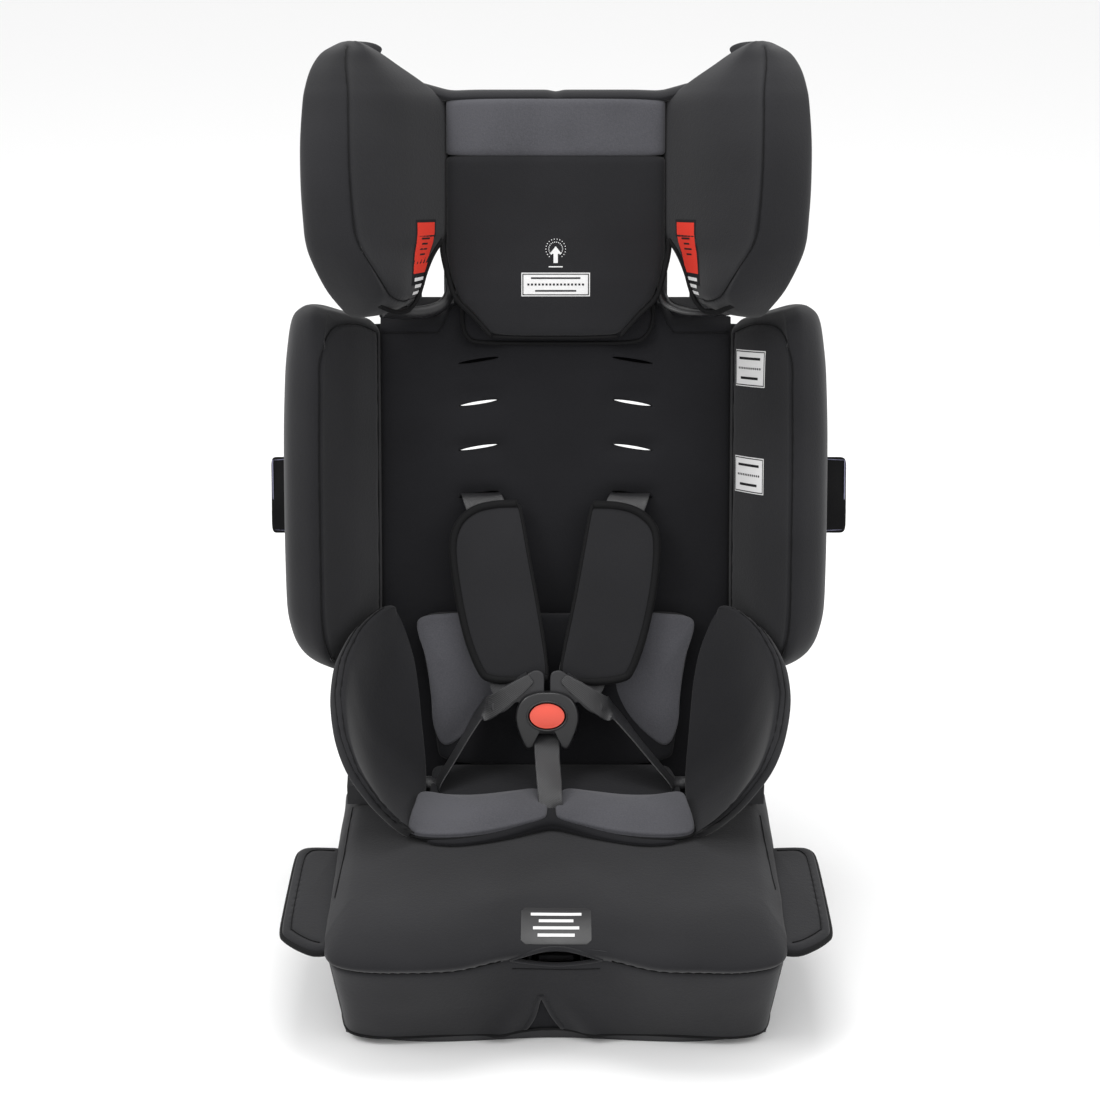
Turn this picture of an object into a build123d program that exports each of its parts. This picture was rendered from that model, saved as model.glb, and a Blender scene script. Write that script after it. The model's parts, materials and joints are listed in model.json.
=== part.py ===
"""Convertible car seat with a sliding headrest, side wings, infant insert and five-point harness.

X runs to the seat's left-hand side as seen from behind, Y runs back and Z runs up.
Millimetres. The seat stands on Z = 0, with the origin in the middle of its base's cross web.
"""

import os
from math import cos, radians, sin

from build123d import *

os.makedirs("parts", exist_ok=True)

# ---------------------------------------------------------------- driving dimensions
LEAN = 15.0                       # backrest leans back by this angle
BACK_ORIGIN = (0, 85, 120)        # foot of the back cover's front face
BASE_TOP = 104.0                  # top of the hollow base
SEAT_TOP = 121.0                  # top of the seat cover
WALL = 4.0                        # plastic wall
COVER = 3.0                       # cover over the base
PANEL_HALF = 165.0                # half width of the flat back panel
PANEL_TOP = 440.0                 # height of the panel's shoulders up the back
NECK_HALF = 98.0                  # half width of the raised neck
NECK_TOP = 466.0                  # height of the neck
SHELL_FRONT = -15.0               # front of the plastic back panel
SHELL_REAR = -50.0                # rear edge of the back shell
SLOT_ROWS = (270.0, 315.0, 357.5, 398.0)
SLOT_X = 73.0                     # harness slots either side of the middle
SLOT_LONG = 42.0
SLOT_HIGH = 9.0
SLOT_TILT = 12.0                  # the outer end of each slot is lower
STRAP = 38.0                      # shoulder and lap webbing
CROTCH_STRAP = 25.0
WEB = 1.4                         # webbing thickness
BUCKLE_X = -8.0                   # the buckle hangs a little off the middle
BUCKLE_S = 61.0
BUCKLE_F = 48.0                   # joint between the two housing halves
ROD_X = 40.0                      # headrest rods
ROD_F = -32.0
ROD_R = 5.0
SIDES = (("right", -1), ("left", 1))

# ---------------------------------------------------------------- working planes
UP_BACK = Vector(0, sin(radians(LEAN)), cos(radians(LEAN)))
OUT_OF_BACK = Vector(0, -cos(radians(LEAN)), sin(radians(LEAN)))
# BACK holds x, height up the back and distance in front of it
BACK = Plane(origin=BACK_ORIGIN, x_dir=(1, 0, 0), z_dir=OUT_OF_BACK)
# SECTION holds x and distance in front; extruding it runs down the back
SECTION = Plane(origin=BACK_ORIGIN, x_dir=(1, 0, 0), z_dir=-UP_BACK)
# PROFILE holds height up the back and distance in front; extruding it runs along X
PROFILE = Plane(origin=BACK_ORIGIN, x_dir=UP_BACK, z_dir=(1, 0, 0))
SIDE_VIEW = Plane(origin=(0, 0, 0), x_dir=(0, 1, 0), z_dir=(1, 0, 0))


def on_back(x, s, f):
    """World point at x, height s up the back and f in front of it."""
    return BACK.from_local_coords(Vector(x, s, f))


def finish(part, name):
    """Label a finished piece and write its STEP file."""
    part.part.label = name
    export_step(part.part, f"parts/{name}.step")


def outline(points, radius=0):
    """Closed polygon in the open sketch, with its corners rounded."""
    with BuildLine() as edge:
        Polyline(*points, close=True)
    make_face(edge.edges())
    if radius:
        fillet(vertices(), radius)


def back_block(x, s, f, width, height, depth, mode=Mode.ADD):
    """Box centred at x, s, f and square to the backrest."""
    with Locations(BACK):
        with Locations((x, s, f)):
            Box(width, height, depth, mode=mode)


def cut_slots(front, rear):
    """All harness slots, cut between two depths."""
    with BuildSketch(BACK.offset(rear)) as slots:
        for row in SLOT_ROWS:
            for side in (-1, 1):
                with Locations(Location((side * SLOT_X, row), -side * SLOT_TILT)):
                    SlotOverall(SLOT_LONG, SLOT_HIGH)
    extrude(slots.sketch, amount=front - rear, mode=Mode.SUBTRACT)


def neck_outline(half, shoulder, neck, neck_top, foot, radius):
    """Outline of the back panel with its raised neck."""
    points = [(-half, foot), (half, foot), (half, shoulder - 16), (half - 20, shoulder)]
    points += [(neck, shoulder), (neck - 10, neck_top), (10 - neck, neck_top)]
    points += [(-neck, shoulder), (20 - half, shoulder), (-half, shoulder - 16)]
    outline(points, radius)


def seat_face(z, half, corner, lobe, middle, rear):
    """Plan of the base at height z, with two thigh lobes at the front."""
    with BuildSketch(Plane.XY.offset(z)) as plan:
        with BuildLine():
            Polyline((half, corner), (half, rear), (-half, rear), (-half, corner))
            Spline((-half, corner), (-0.68 * half, lobe), (0, middle), (0.68 * half, lobe), (half, corner))
        make_face()
    return plan.sketch.faces()[0]


def base_body(grow, low, high, mode=Mode.ADD):
    """Tapered body of the base between two heights, its sides moved out by grow."""
    plans = []
    for z in (low, high):
        rise = z / BASE_TOP
        half = 186 + 11 * rise + grow
        corner = -184 - 38 * rise - grow
        lobe = -199 - 43 * rise - grow
        middle = -193 - 21 * rise - grow
        plans.append(seat_face(z, half, corner, lobe, middle, 165 - 5 * rise + grow))
    loft(sections=plans, mode=mode)


def world_block(low, high, mode=Mode.ADD):
    """Box between two corners in world axes."""
    size = [b - a for a, b in zip(low, high)]
    middle = [(a + b) / 2 for a, b in zip(low, high)]
    with Locations(tuple(middle)):
        Box(*size, mode=mode)


def ribbon(start, end, width, across):
    """Flat webbing between two world points, its width lying as near across as it can."""
    along = (end - start).normalized()
    sideways = across - along * across.dot(along)
    flat = Plane(origin=(start + end) / 2, x_dir=sideways, z_dir=sideways.cross(along))
    with Locations(flat):
        Box(width, (end - start).length, WEB)


# ---------------------------------------------------------------- base
CROTCH_SLOT = (-4, -43)           # where the crotch strap goes down through the seat
LAP_SLOT = (98, 64)               # where each lap strap goes down
ANCHOR_Z = 92.0                   # harness anchor bars under the base plate
REAR_SLOT_Y = 106.0               # where the adjuster strap goes down behind the back
LEDGE = ((194, -190, 90), (226, -45, 94))


def strap_slots(low, high):
    """Slots for the crotch and lap straps, cut between two heights."""
    x, y = CROTCH_SLOT
    world_block((x - 15, y - 4, low), (x + 15, y + 4, high), Mode.SUBTRACT)
    for side in (-1, 1):
        x = side * LAP_SLOT[0]
        y = LAP_SLOT[1]
        world_block((x - 21, y - 4, low), (x + 21, y + 4, high), Mode.SUBTRACT)


with BuildPart() as hollow:
    base_body(-WALL, 0, BASE_TOP - WALL)
    for x in (-70, 70):
        world_block((x - 1.5, -260, 0), (x + 1.5, 200, BASE_TOP), Mode.SUBTRACT)
    world_block((-200, -12, 0), (200, 12, 3), Mode.SUBTRACT)

with BuildPart() as base_shell:
    base_body(0, 0, BASE_TOP)
    add(hollow.part, mode=Mode.SUBTRACT)
    strap_slots(BASE_TOP - 2 * WALL, BASE_TOP + 1)
    world_block((-21, REAR_SLOT_Y - 4, 98), (21, REAR_SLOT_Y + 4, 106), Mode.SUBTRACT)
    world_block((-36, -240, 84), (36, -196, 100), Mode.SUBTRACT)
    for side in (-1, 1):
        for end in (-25, 25):
            x = side * LAP_SLOT[0] + end
            world_block((x - 2, LAP_SLOT[1] - 6, 86), (x + 2, LAP_SLOT[1] + 6, 101))
        x = CROTCH_SLOT[0] + 20 * side
        world_block((x - 2, CROTCH_SLOT[1] - 6, 86), (x + 2, CROTCH_SLOT[1] + 6, 101))
    for x, y in (CROTCH_SLOT, LAP_SLOT, (-LAP_SLOT[0], LAP_SLOT[1])):
        with Locations(Location((x, y, ANCHOR_Z), (0, 90, 0))):
            Cylinder(3, 60, mode=Mode.SUBTRACT)
finish(base_shell, "base_shell")


def ledge(side, mode=Mode.ADD):
    """Ledge that a side flap lies on."""
    low, high = LEDGE
    across = sorted((side * low[0], side * high[0]))
    world_block((across[0], low[1], low[2]), (across[1], high[1], high[2]), mode)


for name, side in SIDES:
    with BuildPart() as flap_ledge:
        ledge(side)
        add(base_shell.part, mode=Mode.SUBTRACT)
        add(hollow.part, mode=Mode.SUBTRACT)
    finish(flap_ledge, f"{name}_flap_ledge")

for name, x, y, length in (
    ("crotch_anchor_bar", CROTCH_SLOT[0], CROTCH_SLOT[1], 44),
    ("left_hip_anchor_bar", LAP_SLOT[0], LAP_SLOT[1], 54),
    ("right_hip_anchor_bar", -LAP_SLOT[0], LAP_SLOT[1], 54),
):
    with BuildPart() as bar:
        with Locations(Location((x, y, ANCHOR_Z), (0, 90, 0))):
            Cylinder(3, length)
    finish(bar, name)

FOAM_TOP = SEAT_TOP - COVER
COVER_REAR = 80.0                 # the seat cover ends in front of the back cover
with BuildPart() as seat_foam:
    base_body(-COVER, BASE_TOP, FOAM_TOP)
    world_block((-250, COVER_REAR - 2, 0), (250, 250, 200), Mode.SUBTRACT)
    strap_slots(BASE_TOP - 1, FOAM_TOP + 1)
finish(seat_foam, "seat_foam")

with BuildPart() as base_cover:
    base_body(COVER, 8, SEAT_TOP)
    base_body(0, 0, BASE_TOP, Mode.SUBTRACT)
    base_body(0, BASE_TOP, FOAM_TOP, Mode.SUBTRACT)
    world_block((-250, COVER_REAR, 0), (250, 250, 200), Mode.SUBTRACT)
    world_block((-36, -245, 84), (36, -196, 102), Mode.SUBTRACT)
    world_block((-40, -230, 0), (40, -180, 16), Mode.SUBTRACT)
    strap_slots(FOAM_TOP - 1, SEAT_TOP + 1)
    ledge(-1, Mode.SUBTRACT)
    ledge(1, Mode.SUBTRACT)
finish(base_cover, "base_cover")

FLAP = [(201, -216), (208, -222), (239, -190), (237, -28), (201, -34)]
HORN = [(82, 104), (120, 104), (112, 150), (60, 160), (18, 140), (18, 121.2), (82, 121.2)]
for name, side in SIDES:
    with BuildPart() as flap:
        with BuildSketch(Plane.XY.offset(94)):
            outline([(side * x, y) for x, y in FLAP])
        extrude(amount=12)
        fillet(flap.edges().filter_by(Axis.Z).sort_by(Axis.X)[:: side][-2:], 14)
    finish(flap, f"{name}_side_flap")

    with BuildPart() as guide:
        with BuildSketch(SIDE_VIEW.offset(side * 186)):
            outline(HORN)
        extrude(amount=10, both=True)
    finish(guide, f"{name}_belt_guide")

# ---------------------------------------------------------------- harness adjuster
LEVER_Y = -178.0
LEVER_Z = 88.0
STRAP_RUN_Z = 80.0
with BuildPart() as adjuster_housing:
    world_block((-24, -200, 70), (24, -166, 74))
    for side in (-1, 1):
        edges_x = sorted((side * 21, side * 24))
        world_block((edges_x[0], -200, 74), (edges_x[1], -166, 100))
    with Locations(Location((0, LEVER_Y, LEVER_Z), (0, 90, 0))):
        Cylinder(3, 60, mode=Mode.SUBTRACT)
finish(adjuster_housing, "adjuster_housing")

with BuildPart() as adjuster_pin:
    with Locations(Location((0, LEVER_Y, LEVER_Z), (0, 90, 0))):
        Cylinder(3, 48)
finish(adjuster_pin, "adjuster_pin")

with BuildPart() as adjuster_lever:
    world_block((-15, -204, LEVER_Z - 2), (15, LEVER_Y, LEVER_Z + 2))
    with Locations(Location((0, LEVER_Y, LEVER_Z), (0, 90, 0))):
        Cylinder(6, 30)
        Cylinder(3.3, 60, mode=Mode.SUBTRACT)
finish(adjuster_lever, "adjuster_lever")

with BuildPart() as adjuster_spring:
    with Locations(Location((18, LEVER_Y, LEVER_Z), (0, 90, 0))):
        Cylinder(5, 4)
        Cylinder(3.1, 10, mode=Mode.SUBTRACT)
finish(adjuster_spring, "adjuster_spring")

# ---------------------------------------------------------------- back shell
WING_PLATE = [(164.9, -20), (215.7, 70), (220.3, 70), (169.5, -20)]
WING_REAR = [(161, 130), (212, 130), (236, 175), (236, 380), (212, 432), (161, 424)]


def wing_plate(side, mode=Mode.ADD):
    """Plastic wing wall that the wing pad wraps round."""
    with BuildSketch(SECTION.offset(-432)) as section:
        outline([(side * x, f) for x, f in WING_PLATE])
    extrude(section.sketch, amount=302, mode=mode)


BACK_FOOT = ((-300, -100, -50), (300, 300, BASE_TOP))
with BuildPart() as back_shell:
    with BuildSketch(BACK.offset(SHELL_FRONT - 5)):
        neck_outline(PANEL_HALF, PANEL_TOP, NECK_HALF, NECK_TOP, -30, 6)
    extrude(amount=5)
    for side in (-1, 1):
        wing_plate(side)
        with BuildSketch(BACK.offset(-24)):
            outline([(side * x, s) for x, s in WING_REAR], 8)
        extrude(amount=4)
    cut_slots(SHELL_FRONT + 1, SHELL_FRONT - 10)
    world_block(*BACK_FOOT, Mode.SUBTRACT)
finish(back_shell, "back_shell")

with BuildPart() as back_frame:
    with BuildSketch(BACK.offset(SHELL_REAR)):
        neck_outline(PANEL_HALF, PANEL_TOP, NECK_HALF, NECK_TOP, -30, 6)
    extrude(amount=SHELL_FRONT - 5 - SHELL_REAR)
    with BuildSketch(BACK.offset(SHELL_REAR)):
        inner = WALL
        neck_outline(PANEL_HALF - inner, PANEL_TOP - inner, NECK_HALF - inner, NECK_TOP - inner, -34, 3)
    extrude(amount=40, mode=Mode.SUBTRACT)
    back_block(0, 462, -35, 120, 30, 30, Mode.SUBTRACT)
    for side in (-1, 1):
        back_block(side * 99.5, 205, -35, 3, 470, 30)
        back_block(side * 131, 205, -35, 62, 3, 30)
    for s in (60, 262):
        back_block(0, s, -48, 200, 12, 4)
    add(back_shell.part, mode=Mode.SUBTRACT)
    world_block(*BACK_FOOT, Mode.SUBTRACT)
finish(back_frame, "back_frame")

with BuildPart() as tether_anchor:
    with Locations(BACK):
        with Locations(Location((0, 225, -46), (0, 90, 0))):
            Cylinder(3, 60)
    for side in (-1, 1):
        back_block(side * 28, 225, -33.5, 4, 16, 27)
finish(tether_anchor, "tether_anchor_bracket")

with BuildPart() as back_cover:
    with BuildSketch(BACK.offset(SHELL_FRONT)):
        neck_outline(166.5, PANEL_TOP, NECK_HALF, NECK_TOP, -10, 5)
    extrude(amount=-SHELL_FRONT)
    cut_slots(1, SHELL_FRONT - 1)
finish(back_cover, "back_cover")

PAD_SECTION = [(167.4, -8), (167.4, 0.5), (214.8, 84), (226, 86), (243, 70), (252, 30), (252, 10)]
PAD_SECTION += [(247, -19.8), (169.9, -19.8)]
PAD_FRONT = [(160, 128), (188, 114), (206, 114), (232, 140), (248, 190), (252, 230), (252, 330)]
PAD_FRONT += [(243, 405), (226, 452), (210, 450), (185, 432), (160, 422)]
PAD_SIDE = [(105, -30), (108, 30), (140, 70), (190, 86.5), (400, 86.5), (436, 60), (456, 10), (456, -30)]
for name, side in SIDES:
    with BuildPart() as wing_pad:
        with BuildSketch(SECTION.offset(-470)):
            outline([(side * x, f) for x, f in PAD_SECTION])
        extrude(amount=380)
        with BuildSketch(BACK.offset(-30)):
            outline([(side * x, s) for x, s in PAD_FRONT])
        extrude(amount=130, mode=Mode.INTERSECT)
        with BuildSketch(PROFILE):
            outline(PAD_SIDE)
        extrude(amount=300, both=True, mode=Mode.INTERSECT)
        wing_plate(side, Mode.SUBTRACT)
    finish(wing_pad, f"{name}_wing_pad")

    with BuildPart() as side_tag:
        back_block(side * 258, 272, 20, 12, 74, 2)
    finish(side_tag, f"{name}_side_tag")

    with BuildPart() as bracket:
        world_block((min(side * 124, side * 144), 106, 104), (max(side * 124, side * 144), 130, 107))
        with BuildSketch(SIDE_VIEW.offset(side * 142.5)):
            outline([(106, 107), (130, 107), (141, 150), (118, 150)])
        extrude(amount=1.5, both=True)
    finish(bracket, f"{name}_back_bracket")

with BuildPart() as bracket_bolts:
    for x in (-132, 132):
        for y in (112, 124):
            with Locations((x, y, 109)):
                Cylinder(4, 4)
finish(bracket_bolts, "bracket_bolts")

# ---------------------------------------------------------------- headrest track on the back
RACK_PITCH = 20.0
with BuildPart() as rack_strip:
    back_block(0, 392, -30, 24, 130, 20)
    for tooth in range(6):
        back_block(0, 342 + RACK_PITCH * tooth, -43, 20, 8, 6)
finish(rack_strip, "rack_strip")

with BuildPart() as rod_guides:
    for side in (-1, 1):
        for s in (300, 430):
            back_block(side * ROD_X, s, -32, 22, 20, 24)
            with Locations(BACK):
                with Locations(Location((side * ROD_X, s, ROD_F), (90, 0, 0))):
                    Cylinder(ROD_R + 0.4, 40, mode=Mode.SUBTRACT)
finish(rod_guides, "rod_guides")

# ---------------------------------------------------------------- headrest
HEAD_WING = [(96, 4), (161.5, 4), (209, 90), (204.5, 90), (158.8, 9), (96, 9)]
HEAD_PLATE = [(62, 446), (92, 462), (104, 452), (123, 443)]
HEAD_PLATE += [(148, 445), (161.5, 470), (161.5, 600), (148, 640)]
HEAD_OUTLINE = [(-150, 446), (150, 446), (190, 470), (212, 520), (212, 600), (190, 640), (-190, 640)]
HEAD_OUTLINE += [(-212, 600), (-212, 520), (-190, 470)]
SASH_LOW = 458.0
SASH_HIGH = 505.0


def head_wing(side, mode=Mode.ADD):
    """Plastic wing of the headrest that the side pod wraps round."""
    with BuildSketch(SECTION.offset(-640)) as section:
        outline([(side * x, f) for x, f in HEAD_WING])
    extrude(section.sketch, amount=188, mode=mode)


def sash_slot(side):
    """Slot for a vehicle belt beside the lower inner corner of a headrest wing."""
    back_block(side * 115.5, (SASH_LOW + SASH_HIGH) / 2, 6.5, 21, SASH_HIGH - SASH_LOW, 20, Mode.SUBTRACT)


with BuildPart() as headrest_shell:
    for side in (-1, 1):
        head_wing(side)
    with BuildSketch(BACK.offset(-20)):
        outline([(x, s) for x, s in HEAD_OUTLINE])
    extrude(amount=140, mode=Mode.INTERSECT)
    with BuildSketch(BACK.offset(4)):
        outline(HEAD_PLATE + [(-x, s) for x, s in reversed(HEAD_PLATE)])
    extrude(amount=5)
    for side in (-1, 1):
        back_block(side * 12.5, 600, -28, 3, 16, 64)
    back_block(0, 613, -22, 120, 11, 56)
    back_block(0, 613, -60, 40, 11, 24)
    back_block(0, 500, 6.5, 44, 26, 9, Mode.SUBTRACT)
    back_block(0, 556, 6.5, 19, 100, 9, Mode.SUBTRACT)
    for side in (-1, 1):
        sash_slot(side)
        with Locations(BACK):
            with Locations(Location((side * ROD_X, 600, ROD_F), (90, 0, 0))):
                Cylinder(ROD_R, 60, mode=Mode.SUBTRACT)
finish(headrest_shell, "headrest_shell")

for name, side in SIDES:
    with BuildPart() as rod:
        with Locations(BACK):
            with Locations(Location((side * ROD_X, 424, ROD_F), (90, 0, 0))):
                Cylinder(ROD_R, 388)
    finish(rod, f"{name}_headrest_rod")

with BuildPart() as headrest_rear_cover:
    back_block(0, 531, -70.5, 40, 152, 3)
    for side in (-1, 1):
        back_block(side * 18.5, 531, -61, 3, 152, 18)
finish(headrest_rear_cover, "headrest_rear_cover")

CUSHION = [(-62, 426), (62, 426), (101, 500), (101, 640), (94, 648), (-94, 648), (-101, 640), (-101, 500)]
with BuildPart() as headrest_cushion:
    with BuildSketch(BACK.offset(14.6)):
        outline(CUSHION)
    extrude(amount=13.4)
finish(headrest_cushion, "headrest_cushion")

with BuildPart() as headrest_apron:
    with BuildSketch(BACK.offset(1)):
        outline([(-66, 418), (66, 418), (88, 432), (92, 452), (60, 500), (-60, 500), (-92, 452), (-88, 432)])
    extrude(amount=2.6)
finish(headrest_apron, "headrest_apron")

POD_SECTION = [(103, 28), (164, 128), (174, 136), (192, 133), (214, 118), (229, 104), (224, 94)]
POD_SECTION += [(204.4, 90.2), (158.6, 9.2), (103, 9.2)]
POD_FRONT = [(104, 512), (127, 505), (127, 452), (140, 441), (165, 441), (190, 450), (212, 478), (223, 510)]
POD_FRONT += [(230, 545), (230, 583), (219, 630), (205, 672), (187, 692), (150, 672), (104, 642)]
POD_SIDE = [(430, 0), (440, 84), (455, 112), (500, 134), (560, 137)]
POD_SIDE += [(620, 128), (670, 95), (696, 50), (696, 0)]
for name, side in SIDES:
    with BuildPart() as pod:
        with BuildSketch(SECTION.offset(-700)):
            outline([(side * x, f) for x, f in POD_SECTION])
        extrude(amount=280)
        with BuildSketch(BACK.offset(-5)):
            outline([(side * x, s) for x, s in POD_FRONT])
        extrude(amount=160, mode=Mode.INTERSECT)
        with BuildSketch(PROFILE):
            outline(POD_SIDE)
        extrude(amount=300, both=True, mode=Mode.INTERSECT)
    finish(pod, f"{name}_headrest_pod")

with BuildPart() as release_yoke:
    back_block(0, 500, 12, 40, 20, 4)
    back_block(0, 555, 11.5, 16, 98, 3)
    back_block(0, 601, -23.5, 16, 6, 73)
    back_block(0, 529.5, -58, 16, 149, 4)
    back_block(0, 459, -51.5, 16, 8, 10)
finish(release_yoke, "release_yoke")

with BuildPart() as release_spring:
    with Locations(BACK):
        with Locations((0, 580, -63)):
            Cylinder(4, 6)
            Cylinder(3, 6, mode=Mode.SUBTRACT)
finish(release_spring, "release_spring")

# ---------------------------------------------------------------- buckle
BUCKLE = Plane(origin=on_back(BUCKLE_X, BUCKLE_S, BUCKLE_F), x_dir=(1, 0, 0), z_dir=OUT_OF_BACK)
BUTTON_S = 6.0
STRAP_NOTCH = -12.0               # top of the notch that holds the crotch strap


HOUSE = [(-13, -26), (-13, -12), (13, -12), (13, -26), (20, -26), (29, -4), (29.5, 8), (20, 24), (8, 27)]
HOUSE += [(-8, 27), (-20, 24), (-29.5, 8), (-29, -4), (-20, -26)]
CAVITY = [(-21, -9), (21, -9), (25.4, 2), (25.4, 10), (18, 20.5), (-18, 20.5), (-25.4, 10), (-25.4, 2)]


def buckle_slab(low, high, points, radius, mode=Mode.ADD):
    """Slab of the buckle between two depths."""
    with BuildSketch(BUCKLE.offset(low)) as slab:
        outline(points, radius)
    extrude(slab.sketch, amount=high - low, mode=mode)


with BuildPart() as buckle_rear:
    buckle_slab(-9, 0, HOUSE, 2.5)
    buckle_slab(-6, 0, CAVITY, 1, Mode.SUBTRACT)
finish(buckle_rear, "buckle_rear_housing")

with BuildPart() as buckle_front:
    buckle_slab(0, 13, HOUSE, 2.5)
    chamfer(buckle_front.faces().sort_by(Axis(BUCKLE.origin, OUT_OF_BACK))[-1].edges(), 2)
    buckle_slab(0, 10, CAVITY, 1, Mode.SUBTRACT)
    with BuildSketch(BUCKLE.offset(9)):
        with Locations((0, BUTTON_S)):
            Ellipse(17, 12.5)
    extrude(amount=6, mode=Mode.SUBTRACT)
    with Locations(BUCKLE):
        for side in (-1, 1):
            with Locations((side * 13.5, 21, 3.5)):
                Box(24, 24, 3.6, mode=Mode.SUBTRACT)
finish(buckle_front, "buckle_front_housing")

with BuildPart() as buckle_button:
    with BuildSketch(BUCKLE.offset(8.4)):
        with Locations((0, BUTTON_S)):
            Ellipse(16.5, 12)
    extrude(amount=6.2)
    with Locations(BUCKLE):
        with Locations((0, BUTTON_S, 4.4)):
            Cylinder(2.2, 8)
finish(buckle_button, "buckle_button")

with BuildPart() as buckle_spring:
    with Locations(BUCKLE):
        with Locations((0, BUTTON_S, -2.9)):
            Cylinder(3.2, 6)
            Cylinder(1.9, 6, mode=Mode.SUBTRACT)
finish(buckle_spring, "buckle_spring")

with BuildPart() as buckle_latch:
    with BuildSketch(BUCKLE.offset(0.7)):
        with Locations((0, 3)):
            Rectangle(38, 18)
        with Locations((0, BUTTON_S + 1)):
            SlotOverall(11, 6, rotation=90, mode=Mode.SUBTRACT)
    extrude(amount=1.2)
finish(buckle_latch, "buckle_latch")

TONGUE = [(3, 4), (22, 4), (22, 28.6), (31, 26), (37, 8), (50, 4)]
TONGUE += [(55, 12), (50, 24), (26, 54), (12, 56), (3, 46)]
for name, side in SIDES:
    with BuildPart() as tongue:
        with BuildSketch(BUCKLE.offset(2.5)):
            outline([(side * x, s) for x, s in TONGUE])
            with Locations(Location((side * 33, 34), -side * 49)):
                SlotOverall(42, 4.6, mode=Mode.SUBTRACT)
        extrude(amount=2)
    finish(tongue, f"{name}_tongue")

# ---------------------------------------------------------------- harness webbing and pads
PAD_TOP = 258.0
PAD_FOOT = 100.0
YOKE_TOP = 184.0


def strap_centre(side, s):
    """Middle of a shoulder strap in front of the back cover, at height s."""
    rise = (s - PAD_FOOT) / (PAD_TOP - PAD_FOOT)
    return on_back(side * (31 + 34 * rise), s, 39.5 - 27 * rise)


for name, side in SIDES:
    with BuildPart() as shoulder_strap:
        ribbon(strap_centre(side, 271), strap_centre(side, 92), STRAP, Vector(1, 0, 0))
        with Locations(BACK):
            with Locations(Location((side * SLOT_X, 268.5, -6), (0, 0, -side * SLOT_TILT))):
                Box(STRAP, WEB, 36)
        behind = on_back(side * SLOT_X, 270, -23.3)
        ribbon(behind, on_back(side * SLOT_X, YOKE_TOP, -23.3), STRAP, Vector(1, 0, 0))
    finish(shoulder_strap, f"{name}_shoulder_strap")

    with BuildPart() as shoulder_pad:
        top = strap_centre(side, PAD_TOP)
        foot = strap_centre(side, PAD_FOOT)
        along = (top - foot).normalized()
        sideways = Vector(1, 0, 0) - along * along.X
        lie = Plane(origin=(top + foot) / 2, x_dir=sideways, z_dir=sideways.cross(along))
        with BuildSketch(lie.offset(-6)):
            RectangleRounded(54, (top - foot).length, 10)
        extrude(amount=12)
        with Locations(lie):
            Box(STRAP + 2, 220, WEB + 1, mode=Mode.SUBTRACT)
    finish(shoulder_pad, f"{name}_shoulder_pad")

    with BuildPart() as lap_strap:
        hip = Vector(side * LAP_SLOT[0], LAP_SLOT[1], 146)
        near_buckle = on_back(BUCKLE_X + side * 50, BUCKLE_S + 12, BUCKLE_F - 1.5)
        ribbon(hip, near_buckle, STRAP, Vector(1, 0, 0))
        ribbon(hip, Vector(hip.X, hip.Y, ANCHOR_Z + 3), STRAP, Vector(1, 0, 0))
    finish(lap_strap, f"{name}_lap_strap")

with BuildPart() as harness_yoke:
    with BuildSketch(BACK.offset(-24.5)):
        with Locations((0, 166)):
            RectangleRounded(188, 34, 8)
            Circle(8, mode=Mode.SUBTRACT)
    extrude(amount=2)
finish(harness_yoke, "harness_yoke")

with BuildPart() as adjuster_strap:
    bend = on_back(0, -8, -23.5)
    ribbon(on_back(0, 149, -23.5), bend, STRAP, Vector(1, 0, 0))
    ribbon(Vector(0, bend.Y, bend.Z), Vector(0, bend.Y, STRAP_RUN_Z), STRAP, Vector(1, 0, 0))
    ribbon(Vector(0, bend.Y + WEB / 2, STRAP_RUN_Z), Vector(0, -196, STRAP_RUN_Z), STRAP, Vector(1, 0, 0))
finish(adjuster_strap, "adjuster_strap")

with BuildPart() as crotch_strap:
    foot = Vector(CROTCH_SLOT[0], CROTCH_SLOT[1], 147)
    buckle_foot = on_back(BUCKLE_X, BUCKLE_S + STRAP_NOTCH - 1.2, BUCKLE_F)
    ribbon(foot, buckle_foot, CROTCH_STRAP, Vector(1, 0, 0))
    ribbon(foot, Vector(foot.X, foot.Y, ANCHOR_Z + 3), CROTCH_STRAP, Vector(1, 0, 0))
finish(crotch_strap, "crotch_strap")

# ---------------------------------------------------------------- infant insert
SEAT_PAD = [(117, 60), (117, -52), (104, -66), (44, -66), (14, -38), (-22, -38)]
SEAT_PAD += [(-48, -66), (-104, -66), (-117, -52), (-117, 60)]
with BuildPart() as insert_seat_pad:
    with BuildSketch(Plane.XY.offset(SEAT_TOP)):
        outline(SEAT_PAD)
    extrude(amount=19)
finish(insert_seat_pad, "insert_seat_pad")

BACK_PAD = [(-116, 24), (116, 24), (118, 90), (130, 144)]
BACK_PAD += [(120, 157), (-120, 157), (-130, 144), (-118, 90)]
with BuildPart() as insert_back_pad:
    with BuildSketch(BACK.offset(0.2)):
        outline(BACK_PAD)
    extrude(amount=23)
finish(insert_back_pad, "insert_back_pad")


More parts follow.
